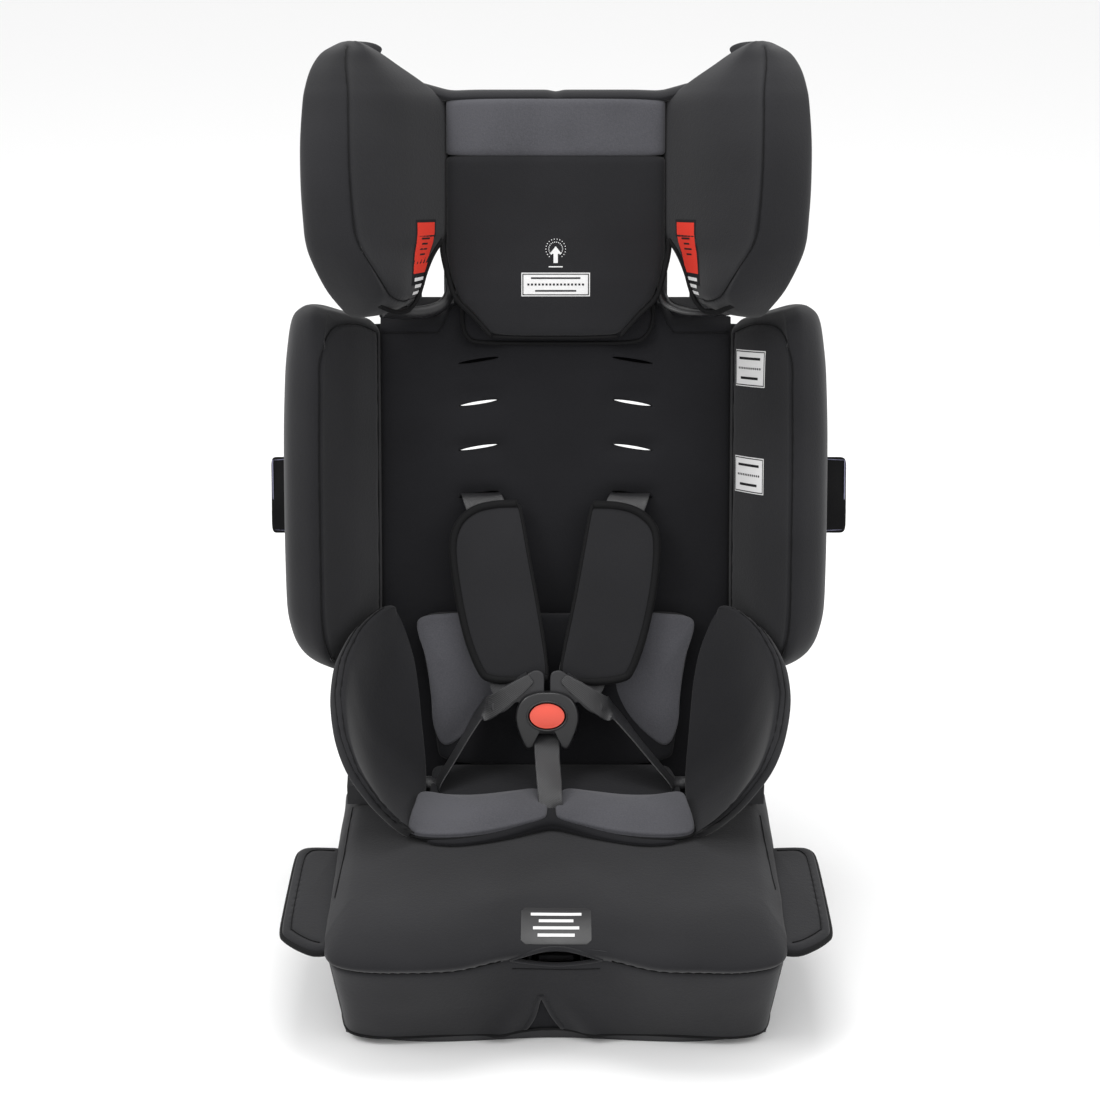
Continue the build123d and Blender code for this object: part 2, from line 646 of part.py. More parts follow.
def bolster_sections(side):
    """Cross-sections of an ear-shaped bolster, from the seat's front up to the back."""
    rows = (
        (Vector(118.5, -54, 121.4), Vector(129, -54, 130), 9),
        (Vector(118.5, -46, 121.4), Vector(160, -75, 169), 14),
        (Vector(118.5, -20, 121.6), Vector(186, -60, 201), 15),
        (Vector(118.5, 24, 123), Vector(203, -3, 246), 15),
        (on_back(120, 62, 1), Vector(187, 60, 282), 14),
        (on_back(135, 148, 1), on_back(152, 169, 20), 10),
    )
    for valley, rim, thick in rows:
        out = Vector(thick, 0, 0)
        corners = [valley, rim, rim + out, valley + out]
        yield Face(Wire.make_polygon([Vector(side * p.X, p.Y, p.Z) for p in corners]))


for name, side in SIDES:
    with BuildPart() as bolster:
        loft(sections=list(bolster_sections(side)), ruled=True)
    finish(bolster, f"{name}_bolster")
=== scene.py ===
"""Looks of a convertible car seat: charcoal knit covers, black webbing and a coral buckle button."""
import json
import math

import bmesh
import bpy
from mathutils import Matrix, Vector, noise
from mathutils.bvhtree import BVHTree
from mathutils.kdtree import KDTree

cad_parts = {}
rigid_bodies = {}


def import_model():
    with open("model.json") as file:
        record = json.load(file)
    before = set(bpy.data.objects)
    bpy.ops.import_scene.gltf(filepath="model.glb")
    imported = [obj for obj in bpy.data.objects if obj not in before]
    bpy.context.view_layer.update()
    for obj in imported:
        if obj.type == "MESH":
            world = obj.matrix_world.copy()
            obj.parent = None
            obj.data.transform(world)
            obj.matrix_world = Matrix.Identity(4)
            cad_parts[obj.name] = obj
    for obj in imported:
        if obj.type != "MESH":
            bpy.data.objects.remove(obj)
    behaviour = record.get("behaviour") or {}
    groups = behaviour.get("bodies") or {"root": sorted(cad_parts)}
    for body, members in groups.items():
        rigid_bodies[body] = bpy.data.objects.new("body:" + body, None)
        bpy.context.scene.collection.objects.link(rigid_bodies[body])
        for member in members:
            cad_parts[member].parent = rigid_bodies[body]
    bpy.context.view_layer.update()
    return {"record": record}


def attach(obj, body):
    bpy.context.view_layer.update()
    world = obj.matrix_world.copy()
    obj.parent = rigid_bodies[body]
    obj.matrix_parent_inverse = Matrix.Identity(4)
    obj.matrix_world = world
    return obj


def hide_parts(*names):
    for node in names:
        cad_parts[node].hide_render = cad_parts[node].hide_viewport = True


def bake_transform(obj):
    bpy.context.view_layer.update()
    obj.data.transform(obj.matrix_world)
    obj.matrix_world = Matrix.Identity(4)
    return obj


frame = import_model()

MM = 0.001
LEAN = math.radians(15)
BACK_FOOT = Vector((0, 85, 120))      # foot of the back cover's front face, in mm
UP_BACK = Vector((0, math.sin(LEAN), math.cos(LEAN)))
OUT_OF_BACK = Vector((0, -math.cos(LEAN), math.sin(LEAN)))
SIDES = (("right", -1), ("left", 1))


def on_back(x, s, f):
    """World point, in mm, at x, height s up the back and f in front of it."""
    return BACK_FOOT + Vector((x, 0, 0)) + UP_BACK * s + OUT_OF_BACK * f


def back_line(side, points):
    return [on_back(side * x, s, f) for x, s, f in points]


def mix(a, b, t):
    return a + (b - a) * t


def smooth(t):
    """Eased step from 0 to 1."""
    t = min(max(t, 0), 1)
    return t * t * (3 - 2 * t)


def table(rows, at):
    """Smooth look-up of a row of values between given rows of (at, values...)."""
    if at <= rows[0][0]:
        return rows[0][1:]
    for low, high in zip(rows, rows[1:]):
        if at <= high[0]:
            t = smooth((at - low[0]) / (high[0] - low[0])) * 0.4 + 0.6 * (at - low[0]) / (high[0] - low[0])
            return [mix(a, b, t) for a, b in zip(low[1:], high[1:])]
    return rows[-1][1:]


# ---------------------------------------------------------------- materials
def new_material(name):
    mat = bpy.data.materials.new(name)
    mat.use_nodes = True
    shader = mat.node_tree.nodes["Principled BSDF"]
    return mat, mat.node_tree, shader


def node(tree, kind, **values):
    made = tree.nodes.new(kind)
    for key, value in values.items():
        if key in made.inputs:
            made.inputs[key].default_value = value
        else:
            setattr(made, key, value)
    return made


def emboss(tree, shader, height, strength, distance):
    bumps = node(tree, "ShaderNodeBump", Strength=strength, Distance=distance)
    tree.links.new(height, bumps.inputs["Height"])
    tree.links.new(bumps.outputs["Normal"], shader.inputs["Normal"])


def vary_gloss(tree, shader, pattern, low, high):
    gloss = node(tree, "ShaderNodeMapRange")
    gloss.inputs["To Min"].default_value = low
    gloss.inputs["To Max"].default_value = high
    tree.links.new(pattern, gloss.inputs["Value"])
    tree.links.new(gloss.outputs["Result"], shader.inputs["Roughness"])


def fabric(name, dark, light, weave=900.0, bump=0.25, heather=0.35, sheen=0.13, rough=0.9):
    """Knitted cover cloth: fine ribs of loops, a heather fleck and broad wear of colour."""
    mat, tree, shader = new_material(name)
    links = tree.links
    coords = node(tree, "ShaderNodeTexCoord")
    fleck = node(tree, "ShaderNodeTexNoise", Scale=weave * 0.9, Detail=3.0)
    broad = node(tree, "ShaderNodeTexNoise", Scale=9.0, Detail=2.0)
    loops = node(tree, "ShaderNodeTexVoronoi", Scale=weave)
    rows = node(tree, "ShaderNodeTexNoise", Scale=weave / 3.0, Detail=2.0)
    for tex in (fleck, broad, loops, rows):
        links.new(coords.outputs["Object"], tex.inputs["Vector"])
    tone = node(tree, "ShaderNodeMath", operation="MULTIPLY_ADD")
    tone.inputs[1].default_value = heather
    links.new(fleck.outputs["Fac"], tone.inputs[0])
    links.new(broad.outputs["Fac"], tone.inputs[2])
    ramp = node(tree, "ShaderNodeValToRGB")
    ramp.color_ramp.elements[0].position = 0.35
    ramp.color_ramp.elements[0].color = (*dark, 1)
    ramp.color_ramp.elements[1].position = 0.95
    ramp.color_ramp.elements[1].color = (*light, 1)
    links.new(tone.outputs[0], ramp.inputs["Fac"])
    links.new(ramp.outputs["Color"], shader.inputs["Base Color"])
    height = node(tree, "ShaderNodeMath", operation="MULTIPLY_ADD")
    height.inputs[1].default_value = 0.6
    links.new(loops.outputs["Distance"], height.inputs[0])
    links.new(rows.outputs["Fac"], height.inputs[2])
    emboss(tree, shader, height.outputs[0], bump, 0.0006)
    shader.inputs["Roughness"].default_value = rough
    shader.inputs["Sheen Weight"].default_value = sheen
    shader.inputs["Sheen Roughness"].default_value = 0.5
    shader.inputs["Specular IOR Level"].default_value = 0.18
    return mat


def webbing_cloth(name, dark, light):
    """Woven webbing: a tight diagonal twill with a satin face."""
    mat, tree, shader = new_material(name)
    links = tree.links
    coords = node(tree, "ShaderNodeTexCoord")
    twill = node(tree, "ShaderNodeTexWave", Scale=260.0, Distortion=0.3)
    twill.bands_direction = "DIAGONAL"
    cross = node(tree, "ShaderNodeTexWave", Scale=330.0, Distortion=0.2)
    cross.bands_direction = "X"
    for tex in (twill, cross):
        links.new(coords.outputs["Object"], tex.inputs["Vector"])
    ramp = node(tree, "ShaderNodeValToRGB")
    ramp.color_ramp.elements[0].color = (*dark, 1)
    ramp.color_ramp.elements[1].color = (*light, 1)
    links.new(twill.outputs["Fac"], ramp.inputs["Fac"])
    links.new(ramp.outputs["Color"], shader.inputs["Base Color"])
    height = node(tree, "ShaderNodeMath", operation="ADD")
    links.new(twill.outputs["Fac"], height.inputs[0])
    links.new(cross.outputs["Fac"], height.inputs[1])
    emboss(tree, shader, height.outputs[0], 0.35, 0.0005)
    shader.inputs["Roughness"].default_value = 0.42
    shader.inputs["Specular IOR Level"].default_value = 0.6
    return mat


def plastic(name, colour, rough, grain=0.12, scale=1400.0):
    """Moulded plastic with a fine spark-eroded grain and slight change of gloss."""
    mat, tree, shader = new_material(name)
    links = tree.links
    coords = node(tree, "ShaderNodeTexCoord")
    fine = node(tree, "ShaderNodeTexNoise", Scale=scale, Detail=2.0)
    broad = node(tree, "ShaderNodeTexNoise", Scale=30.0, Detail=3.0)
    for tex in (fine, broad):
        links.new(coords.outputs["Object"], tex.inputs["Vector"])
    vary_gloss(tree, shader, broad.outputs["Fac"], rough - 0.06, rough + 0.08)
    emboss(tree, shader, fine.outputs["Fac"], grain, 0.0004)
    shader.inputs["Base Color"].default_value = (*colour, 1)
    return mat


def metal(name, colour, rough):
    """Plated steel with faint drawn lines."""
    mat, tree, shader = new_material(name)
    links = tree.links
    coords = node(tree, "ShaderNodeTexCoord")
    lines = node(tree, "ShaderNodeTexNoise", Scale=60.0, Detail=4.0)
    stretch = node(tree, "ShaderNodeMapping")
    stretch.inputs["Scale"].default_value = (1, 1, 12)
    links.new(coords.outputs["Object"], stretch.inputs["Vector"])
    links.new(stretch.outputs["Vector"], lines.inputs["Vector"])
    vary_gloss(tree, shader, lines.outputs["Fac"], rough - 0.08, rough + 0.12)
    shader.inputs["Base Color"].default_value = (*colour, 1)
    shader.inputs["Metallic"].default_value = 1.0
    return mat


CHARCOAL = fabric("charcoal_knit", (0.0095, 0.0095, 0.0108), (0.0158, 0.0158, 0.0178))
BLACK = fabric("black_mesh_knit", (0.0062, 0.0062, 0.0074), (0.0100, 0.0100, 0.0118), weave=700,
    sheen=0.06)
GREY = fabric("grey_heather_knit", (0.038, 0.038, 0.043), (0.074, 0.074, 0.083), weave=800, heather=0.6)
PAD = fabric("pad_knit", (0.0100, 0.0100, 0.0112), (0.0160, 0.0160, 0.0178), weave=1000)
BINDING = fabric("black_binding", (0.0018, 0.0018, 0.0022), (0.0035, 0.0035, 0.0040), weave=1300,
    rough=0.75, sheen=0.02)
WEB = webbing_cloth("black_webbing", (0.008, 0.008, 0.009), (0.026, 0.026, 0.028))
SHELL = plastic("shell_plastic", (0.018, 0.018, 0.020), 0.55, 0.3)
SATIN = plastic("satin_black_plastic", (0.012, 0.012, 0.013), 0.34, 0.1)
RED = plastic("coral_button", (0.78, 0.095, 0.06), 0.35, 0.06)
STEEL = metal("plated_steel", (0.55, 0.55, 0.56), 0.32)
TONGUE = plastic("black_coated_metal", (0.016, 0.016, 0.018), 0.38, 0.08)
WHITE = fabric("white_label_weave", (0.62, 0.62, 0.62), (0.78, 0.78, 0.78), weave=1600, bump=0.1,
    sheen=0.0)
INK = fabric("label_ink", (0.010, 0.010, 0.011), (0.018, 0.018, 0.020), weave=1600, bump=0.1, sheen=0.0)
LILAC = fabric("lilac_label_edge", (0.20, 0.20, 0.30), (0.30, 0.30, 0.42), weave=1600, bump=0.1,
    sheen=0.0)
LABEL_RED = fabric("red_label_weave", (0.55, 0.03, 0.02), (0.70, 0.05, 0.03), weave=1600, bump=0.1,
    sheen=0.0)
GLOSS = plastic("glossy_label", (0.006, 0.006, 0.007), 0.42, 0.05)
FOAM = fabric("grey_foam", (0.30, 0.30, 0.31), (0.40, 0.40, 0.41), weave=500, bump=0.6)
SLOT_FINISH = {
    "charcoal_fabric": CHARCOAL, "black_fabric": BLACK, "insert_grey_fabric": GREY, "pad_fabric": PAD,
    "tag_fabric": BINDING, "webbing": WEB, "shell_plastic": SHELL, "buckle_plastic": SATIN,
    "button_red": RED, "steel": STEEL, "tongue_metal": TONGUE, "foam": FOAM,
}

# material, body and slot of the pieces that share them
SEAT_CLOTH = (CHARCOAL, "seat", "charcoal_fabric")
SEAT_BLACK = (BLACK, "seat", "black_fabric")
SEAT_EDGE = (BINDING, "seat", "black_fabric")
HEAD_CLOTH = (CHARCOAL, "headrest", "charcoal_fabric")
HEAD_EDGE = (BINDING, "headrest", "black_fabric")
SEAT_GREY = (GREY, "seat", "insert_grey_fabric")
BUCKLE_SHELL = (SATIN, "seat", "buckle_plastic")
SEAT_WEB = (WEB, "seat", "webbing")
FREE_WEB = (WEB, None, "webbing")


# ---------------------------------------------------------------- making pieces
def piece(name, verts, faces, material, body, slot, levels=2):
    """Mesh piece from points in mm, smoothed by subdivision, riding on a body."""
    mesh = bpy.data.meshes.new(name)
    mesh.from_pydata([Vector(v) * MM for v in verts], [], faces)
    mesh.validate()
    made = bpy.data.objects.new(name, mesh)
    bpy.context.scene.collection.objects.link(made)
    tidy = bmesh.new()
    tidy.from_mesh(mesh)
    bmesh.ops.recalc_face_normals(tidy, faces=tidy.faces)
    tidy.to_mesh(mesh)
    tidy.free()
    for face in mesh.polygons:
        face.use_smooth = True
    mesh.materials.append(material)
    if levels:
        bends = made.modifiers.new("rounded", "SUBSURF")
        bends.levels = levels
        bends.render_levels = levels
    if body:
        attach(made, body)
    return made


def ring_faces(rows, count, start=0):
    """Quads between closed rings of the same length."""
    faces = []
    for r in range(rows - 1):
        for i in range(count):
            a = start + r * count + i
            b = start + r * count + (i + 1) % count
            faces.append((a, b, b + count, a + count))
    return faces


def prism_faces(count, start=0):
    """Faces of a closed prism between two rings, its ends included."""
    ends = [tuple(range(start, start + count)), tuple(range(start + 2 * count - 1, start + count - 1,
        -1))]
    return ring_faces(2, count, start) + ends


def oval(count, wide, high):
    turns = [2 * math.pi * k / count for k in range(count)]
    return [(wide * math.cos(turn), high * math.sin(turn)) for turn in turns]


def lofted(name, rings, material, body, slot, levels=2):
    """Closed form through closed rings, both ends capped."""
    count = len(rings[0])
    verts = [v for ring in rings for v in ring]
    faces = ring_faces(len(rings), count)
    for ring, first in ((rings[0], 0), (rings[-1], (len(rings) - 1) * count)):
        middle = sum((Vector(v) for v in ring), Vector()) / count
        verts.append(middle)
        hub = len(verts) - 1
        faces += [(first + i, first + (i + 1) % count, hub) for i in range(count)]
    return piece(name, verts, faces, material, body, slot, levels)


def grid(name, rows, material, body, slot, levels=2, thick=0.0):
    """Open sheet through rows of points, given a thickness in mm if wanted."""
    wide = len(rows[0])
    verts = [v for row in rows for v in row]
    faces = []
    for r in range(len(rows) - 1):
        for i in range(wide - 1):
            a = r * wide + i
            faces.append((a, a + 1, a + 1 + wide, a + wide))
    made = piece(name, verts, faces, material, body, slot, levels)
    if thick:
        depth = made.modifiers.new("thickness", "SOLIDIFY")
        depth.thickness = thick * MM
        depth.offset = -1
    return made


def catmull(points, per=8, closed=False):
    """Evenly split smooth line through given points."""
    points = [Vector(p) for p in points]
    count = len(points)
    line = []
    spans = count if closed else count - 1
    for i in range(spans):
        if closed:
            p = [points[(i + k) % count] for k in (-1, 0, 1, 2)]
        else:
            p = [points[min(max(i + k, 0), count - 1)] for k in (-1, 0, 1, 2)]
        for j in range(per):
            t = j / per
            line.append(
                0.5 * (2 * p[1] + (p[2] - p[0]) * t + (2 * p[0] - 5 * p[1] + 4 * p[2] - p[3]) * t * t
                       + (3 * p[1] - p[0] - 3 * p[2] + p[3]) * t ** 3)
            )
    if not closed:
        line.append(points[-1])
    return line


def rounded(outline, per):
    """Closed smooth outline, as (u, v), through given corners."""
    return [p.xy for p in catmull([(u, v, 0) for u, v in outline], per, closed=True)]


def tube(name, points, radius, material, body, slot, closed=False, flat=1.0, around=10):
    """Piping, binding or a rolled edge: a round or flattened tube along a line, in mm."""
    points = [Vector(p) for p in points]
    count = len(points)
    rings = []
    side = None
    for i, at in enumerate(points):
        ahead = points[(i + 1) % count] if closed or i < count - 1 else at
        behind = points[i - 1] if closed or i > 0 else at
        along = (ahead - behind).normalized()
        if side is None:
            side = along.orthogonal().normalized()
        side = (side - along * side.dot(along)).normalized()
        up = along.cross(side)
        ring = []
        for k in range(around):
            turn = 2 * math.pi * k / around
            ring.append(at + side * math.cos(turn) * radius + up * math.sin(turn) * radius * flat)
        rings.append(ring)
    if closed:
        verts = [v for ring in rings for v in ring]
        faces = ring_faces(count, around)
        last = (count - 1) * around
        for k in range(around):
            faces.append((last + k, last + (k + 1) % around, (k + 1) % around, k))
        return piece(name, verts, faces, material, body, slot, 0)
    return lofted(name, rings, material, body, slot, 0)


def ribbon(name, points, width, across, thick, material, body, slot, levels=1):
    """Flat webbing along a line of points; across gives the width's direction at each point."""
    face = [(-0.5, -0.3), (-0.49, -0.5), (-0.25, -0.5), (0, -0.5), (0.25, -0.5), (0.49, -0.5),
        (0.5, -0.3)]
    section = face + [(-x, -z) for x, z in face]
    points = [Vector(p) for p in points]
    rings = []
    for i, at in enumerate(points):
        ahead = points[min(i + 1, len(points) - 1)]
        behind = points[max(i - 1, 0)]
        along = (ahead - behind).normalized()
        wide = Vector(across[i] if isinstance(across, list) else across)
        wide = (wide - along * wide.dot(along)).normalized()
        up = wide.cross(along)
        w = width[i] if isinstance(width, list) else width
        rings.append([at + wide * x * w + up * z * thick for x, z in section])
    return lofted(name, rings, material, body, slot, levels)


def cushion(name, outline, place, thick, crown, material, body, slot, core=None, levels=2, groove=1.0):
    """Stuffed pad on an outline: rounded edge with a seam line half way, crowned front, flat back.

    place(u, v, d) gives the world point of an outline point at depth d in front of the back face.
    """
    outline = [Vector((*p, 0)) if len(p) == 2 else Vector(p) for p in outline]
    middle = Vector((*core, 0)) if core else sum(outline, Vector()) / len(outline)
    profile = [(0.90, 0.0), (0.975, 0.03), (1.0, 0.22), (1.0, 0.44)]
    if groove:
        profile += [(0.993, 0.5)]
    profile += [(1.0, 0.56), (0.995, 0.80), (0.965, 0.96), (0.90, 1.0)]
    rings = []
    for scale, depth in profile:
        rings.append([place(*(middle + (p - middle) * scale).xy, depth * thick) for p in outline])
    for scale in (0.75, 0.55, 0.3, 0.1):
        rise = thick + crown * (1 - (scale / 0.9) ** 2)
        rings.append([place(*(middle + (p - middle) * scale).xy, rise) for p in outline])
    return lofted(name, rings, material, body, slot, levels)


def crumple(made, amount, size, seed=0):
    """Slight unevenness of cloth, as moved points, in mm."""
    mesh = made.data
    offset = Vector((seed * 3.1, seed * 1.7, seed * 2.3))
    for v in mesh.vertices:
        v.co += noise.noise_vector(v.co / (size * MM) + offset) * amount * MM


def bake(made):
    """Turns a piece's modifiers into plain mesh, so that seams can be sewn into it."""
    graph = bpy.context.evaluated_depsgraph_get()
    finished = bpy.data.meshes.new_from_object(made.evaluated_get(graph))
    made.modifiers.clear()
    made.data = finished
    return made


def surface_of(made):
    """Search tree of a baked piece's surface."""
    graph = bpy.context.evaluated_depsgraph_get()
    return BVHTree.FromObject(made, graph)


def on_surface(tree, points):
    """Points, in mm, moved onto the nearest place of a surface."""
    found = []
    for p in points:
        near = tree.find_nearest(Vector(p) * MM)
        found.append(near[0] / MM)
    return found


def sew(made, lines, body, slot, depth=1.3, width=5.0, thread=0.55):
    """Sinks a groove along each line of a baked piece and lays the seam in it."""
    tree = surface_of(made)
    laid = [on_surface(tree, line) for line in lines]
    points = [p for line in laid for p in line]
    near = KDTree(len(points))
    for i, p in enumerate(points):
        near.insert(p * MM, i)
    near.balance()
    for v in made.data.vertices:
        gap = near.find(v.co)[2] / MM
        if gap < width:
            v.co -= v.normal * depth * MM * (1 - gap / width) ** 2
    for i, line in enumerate(laid):
        tube(f"{made.name}_seam_{i + 1}", line, thread, BINDING, body, slot, around=6)


def cut(made, cutter):
    """Takes a closed cutter out of a piece and removes the cutter."""
    hole = made.modifiers.new("hole", "BOOLEAN")
    hole.operation = "DIFFERENCE"
    hole.object = cutter
    bake(made)
    bpy.data.objects.remove(cutter)


def upholster(cad_node):
    """Hides the plain solid of the frame that a padded piece stands in for."""
    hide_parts(cad_node)


# ---------------------------------------------------------------- camera
def place_camera():
    lens = bpy.data.cameras.new("camera")
    lens.lens = 83.9
    lens.sensor_width = 36
    lens.dof.use_dof = False
    camera = bpy.data.objects.new("camera", lens)
    camera.location = (-0.0053, -2.1316, 1.2478)
    camera.rotation_euler = (math.radians(68), 0, 0)
    bpy.context.scene.collection.objects.link(camera)
    bpy.context.scene.camera = camera


# ---------------------------------------------------------------- body wings
WING = (  # height, ridge x, ridge f, outer x, size of the section
    (107, 204, 45, 226, 0.14), (108.5, 205, 52, 232, 0.42), (113, 207, 62, 240, 0.66),
    (123, 210, 72, 246, 0.84), (140, 213, 79, 251, 0.95), (166, 214.5, 84, 254, 1.0),
    (230, 215, 86, 255, 1.0), (330, 215, 86, 255, 1.0), (390, 214, 84, 253, 1.0),
    (420, 213, 80, 250, 1.0), (438, 212, 75, 247, 1.0), (447, 212, 69, 245, 0.95),
    (452, 212, 64, 242, 0.72),
)


def wing_ring(side, s):
    xr, fr, xo, size = table(WING, s)
    keys = [(167.0, -12), (167.6, 0), ((167.6 + xr) / 2 - 4, fr * 0.52), (xr - 4, fr - 8),
        (xr + 1, fr - 1)]
    keys += [(xr + 13, fr), (xo - 7, fr - 17), (xo, fr * 0.42), (xo - 1, -8), (xo - 7, -19.3),
        (190, -19.5), (170, -19.5)]
    ring = []
    for p in catmull([(x, f, 0) for x, f in keys], 4, closed=True):
        x = 205 + (p.x - 205) * size
        f = 28 + (p.y - 28) * size
        drop = smooth((s - 380) / 70) * 0.3 * max(0, 224 - x)
        ring.append(on_back(side * x, s - drop, f))
    return ring


def make_wing_pads():
    heights = [107, 108.5, 111, 116, 124, 136, 148, 162, 180, 205, 235, 270, 305, 340, 370, 395, 412,
        426, 437, 445, 450, 452]
    for name, side in SIDES:
        pad = lofted(f"{name}_wing_cover", [wing_ring(side, s) for s in heights], *SEAT_CLOTH, 2)
        bake(pad)
        line = []
        for s in (118, 135, 160, 200, 260, 320, 370, 400):
            xr, fr, _, size = table(WING, s)
            line.append(on_back(side * (205 + (xr + 2 - 205) * size), s, 28 + (fr - 28) * size))
        line += back_line(side, ((208, 421, 76), (198, 434, 62), (184, 434, 35), (169, 425, 4)))
        base = [on_back(side * 168.5, s, 2) for s in (140, 200, 260, 320, 380, 424)]
        sew(pad, [catmull(line, 10), catmull(base, 6)], "seat", "charcoal_fabric")
        upholster(f"{name}_wing_pad")
        make_side_tag(name, side)


def make_side_tag(name, side):
    rows = []
    for j in range(7):
        s = 236 + 72 * j / 6
        row = []
        for i in range(4):
            x = 250.5 + (24 if side > 0 else 18) * i / 3
            row.append(on_back(side * x, s, 20 + 2.5 * math.sin(j * 1.1) * (i / 3) ** 2))
        rows.append(row)
    tag = grid(f"{name}_side_label", rows, BINDING, "seat", "tag_fabric", 2, thick=0.9)
    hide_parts(f"{name}_side_tag")
    far = 273 if side > 0 else 267
    edge = [on_back(side * x, s, 20.9) for x, s in ((252, 238), (far, 239), (far, 305), (252, 306))]
    tube(f"{name}_side_label_edge", edge, 0.5, LILAC, "seat", "tag_fabric", around=6)


# ---------------------------------------------------------------- back cover
SLOT_X = 73
SLOT_HEIGHTS = (270, 315, 357.5, 398)


def neck_rise(x):
    return 26 * smooth((112 - abs(x)) / 16)


def slot_centres():
    return [(side * SLOT_X, s) for s in SLOT_HEIGHTS for side in (-1, 1)]


def slot_loop(cx, cs, wide, high, f, count):
    """Outline of a harness slot, tilted down towards the middle, at f in front of the back."""
    tilt = -math.copysign(math.radians(9), cx)
    loop = []
    for u, v in oval(count, wide, high):
        x = cx + u * math.cos(tilt) - v * math.sin(tilt)
        loop.append(on_back(x, cs + u * math.sin(tilt) + v * math.cos(tilt), f))
    return loop


def make_back_cover():
    columns = [-167 + 334 * i / 60 for i in range(61)]
    heights = [-8 + 6.6 * j for j in range(66)] + [424, 426, 431, 436, 439, 440]
    rings = []
    for s in heights:
        ring = []
        tuck = smooth((s - 424) / 16)
        for x in columns:
            f = -0.6 - 2.2 * smooth((abs(x) - 158) / 9) - 9 * tuck ** 2
            for cx, cs in slot_centres():
                across = math.exp(-(((x - cx) / 24) ** 4))
                swell = 1.3 * math.exp(-(((s - cs) / 17) ** 2))
                f += across * (swell - 7.4 * math.exp(-(((s - cs) / 7) ** 2)))
            ring.append(on_back(x, s + neck_rise(x) * smooth((s - 330) / 94), f))
        for x in reversed(columns[::4]):
            ring.append(on_back(x, s + neck_rise(x) * smooth((s - 330) / 94), -14.2 + 2 * tuck))
        rings.append(ring)
    cover = lofted("back_panel_cover", rings, *SEAT_BLACK, 1)
    verts = []
    faces = []
    count = 20
    for cx, cs in slot_centres():
        faces += prism_faces(count, len(verts))
        verts += slot_loop(cx, cs, 19.5, 1.7, -30, count) + slot_loop(cx, cs, 19.5, 1.7, 12, count)
    cutter = piece("slot_cutter", verts, faces, *SEAT_BLACK, 0)
    cut(cover, cutter)
    top = [on_back(x, 424 + neck_rise(x), 0) for x in columns]
    sew(cover, [top], "seat", "black_fabric", depth=1.5)
    upholster("back_cover")
    for k, low in enumerate((257, 389)):
        for side in (-1, 1):
            rows = [[on_back(side * (48 + 12.5 * i), low + 6 * j,
                -16.5) for i in range(5)] for j in range(4)]
            grid(f"harness_slot_lining_{2 * k + (side + 3) // 2}", rows, *SEAT_BLACK, 1)
    for name, side in SIDES:
        rows = [[on_back(side * (161 + 5 * i), 14 + 27 * j,
            -5 - 0.6 * i) for i in range(5)] for j in range(16)]
        grid(f"{name}_back_gusset", rows, *SEAT_BLACK, 1)
    for i, (cx, cs) in enumerate(slot_centres()):
        lip = slot_loop(cx, cs, 20.3, 2.5, -6.2, 28)
        tube(f"harness_slot_binding_{i + 1}", lip, 1.2, *SEAT_EDGE, closed=True, around=8)


# ---------------------------------------------------------------- headrest
POD = (  # height, inner x, inner f, ridge x, ridge f, outer x, size
    (440, 150, 55, 160, 84, 186, 0.25), (442, 143, 52, 160, 92, 192, 0.6),
    (447, 136, 48, 158, 100, 197, 0.82),
    (455, 129, 44, 156, 108, 202, 0.94), (466, 125, 40, 158, 117, 209, 1.0),
    (482, 121, 36, 165, 126, 217, 1.0),
    (500, 114, 31, 173, 132, 224, 1.0), (514, 104, 27, 177, 134, 227, 1.0),
    (560, 103.5, 27, 182, 136, 230, 1.0),
    (600, 103.5, 27, 183, 131, 230, 1.0), (640, 104, 27, 184, 116, 228, 1.0),
    (652, 120, 34, 185, 108, 226, 1.0),
    (664, 136, 39, 187, 99, 223, 1.0), (674, 150, 44, 188, 90, 219, 1.0),
    (682, 161, 48, 188, 82, 213, 0.98),
    (688, 168, 51, 187, 74, 206, 0.86), (692, 172, 54, 187, 68, 200, 0.5),
)


def pod_keys(s):
    xi, fi, xr, fr, xo, size = table(POD, s)
    back = max(min(93, fr - 34), 40)
    shrink = max(s - 636, 0)
    rear = 11 + 0.75 * shrink
    keys = [(xi, min(12 + (fi - 27) * 0.9 + shrink * 0.3, fi - 3)), (xi + 0.5, fi - 1),
        ((xi + xr) / 2 - 5, (fi + fr) / 2 + 3), (xr - 6, fr - 9)]
    keys += [(xr + 2, fr - 1), (mix(xr, xo, 0.42), fr - 4), (mix(xr, xo, 0.86), fr - 16),
        (xo, mix(fr, back, 0.7))]
    corner = max(157, xi + 5)
    keys += [(min(xo - 5, 221), back), (min(203, 114 + back), back - 5)]
    keys += [(mix(corner, min(203, 114 + back), 0.5), mix(rear, back - 5, 0.5)), (corner, rear),
        ((xi + corner) / 2, rear)]
    return keys, (min(xi + 62, 190), (fr + 18) / 2, size)


def pod_ring(side, s):
    keys, (cx, cf, size) = pod_keys(s)
    ring = []
    for p in catmull([(x, f, 0) for x, f in keys], 4, closed=True):
        x = cx + (p.x - cx) * size
        f = cf + (p.y - cf) * size
        ring.append(on_back(side * x, s, f))
    return ring


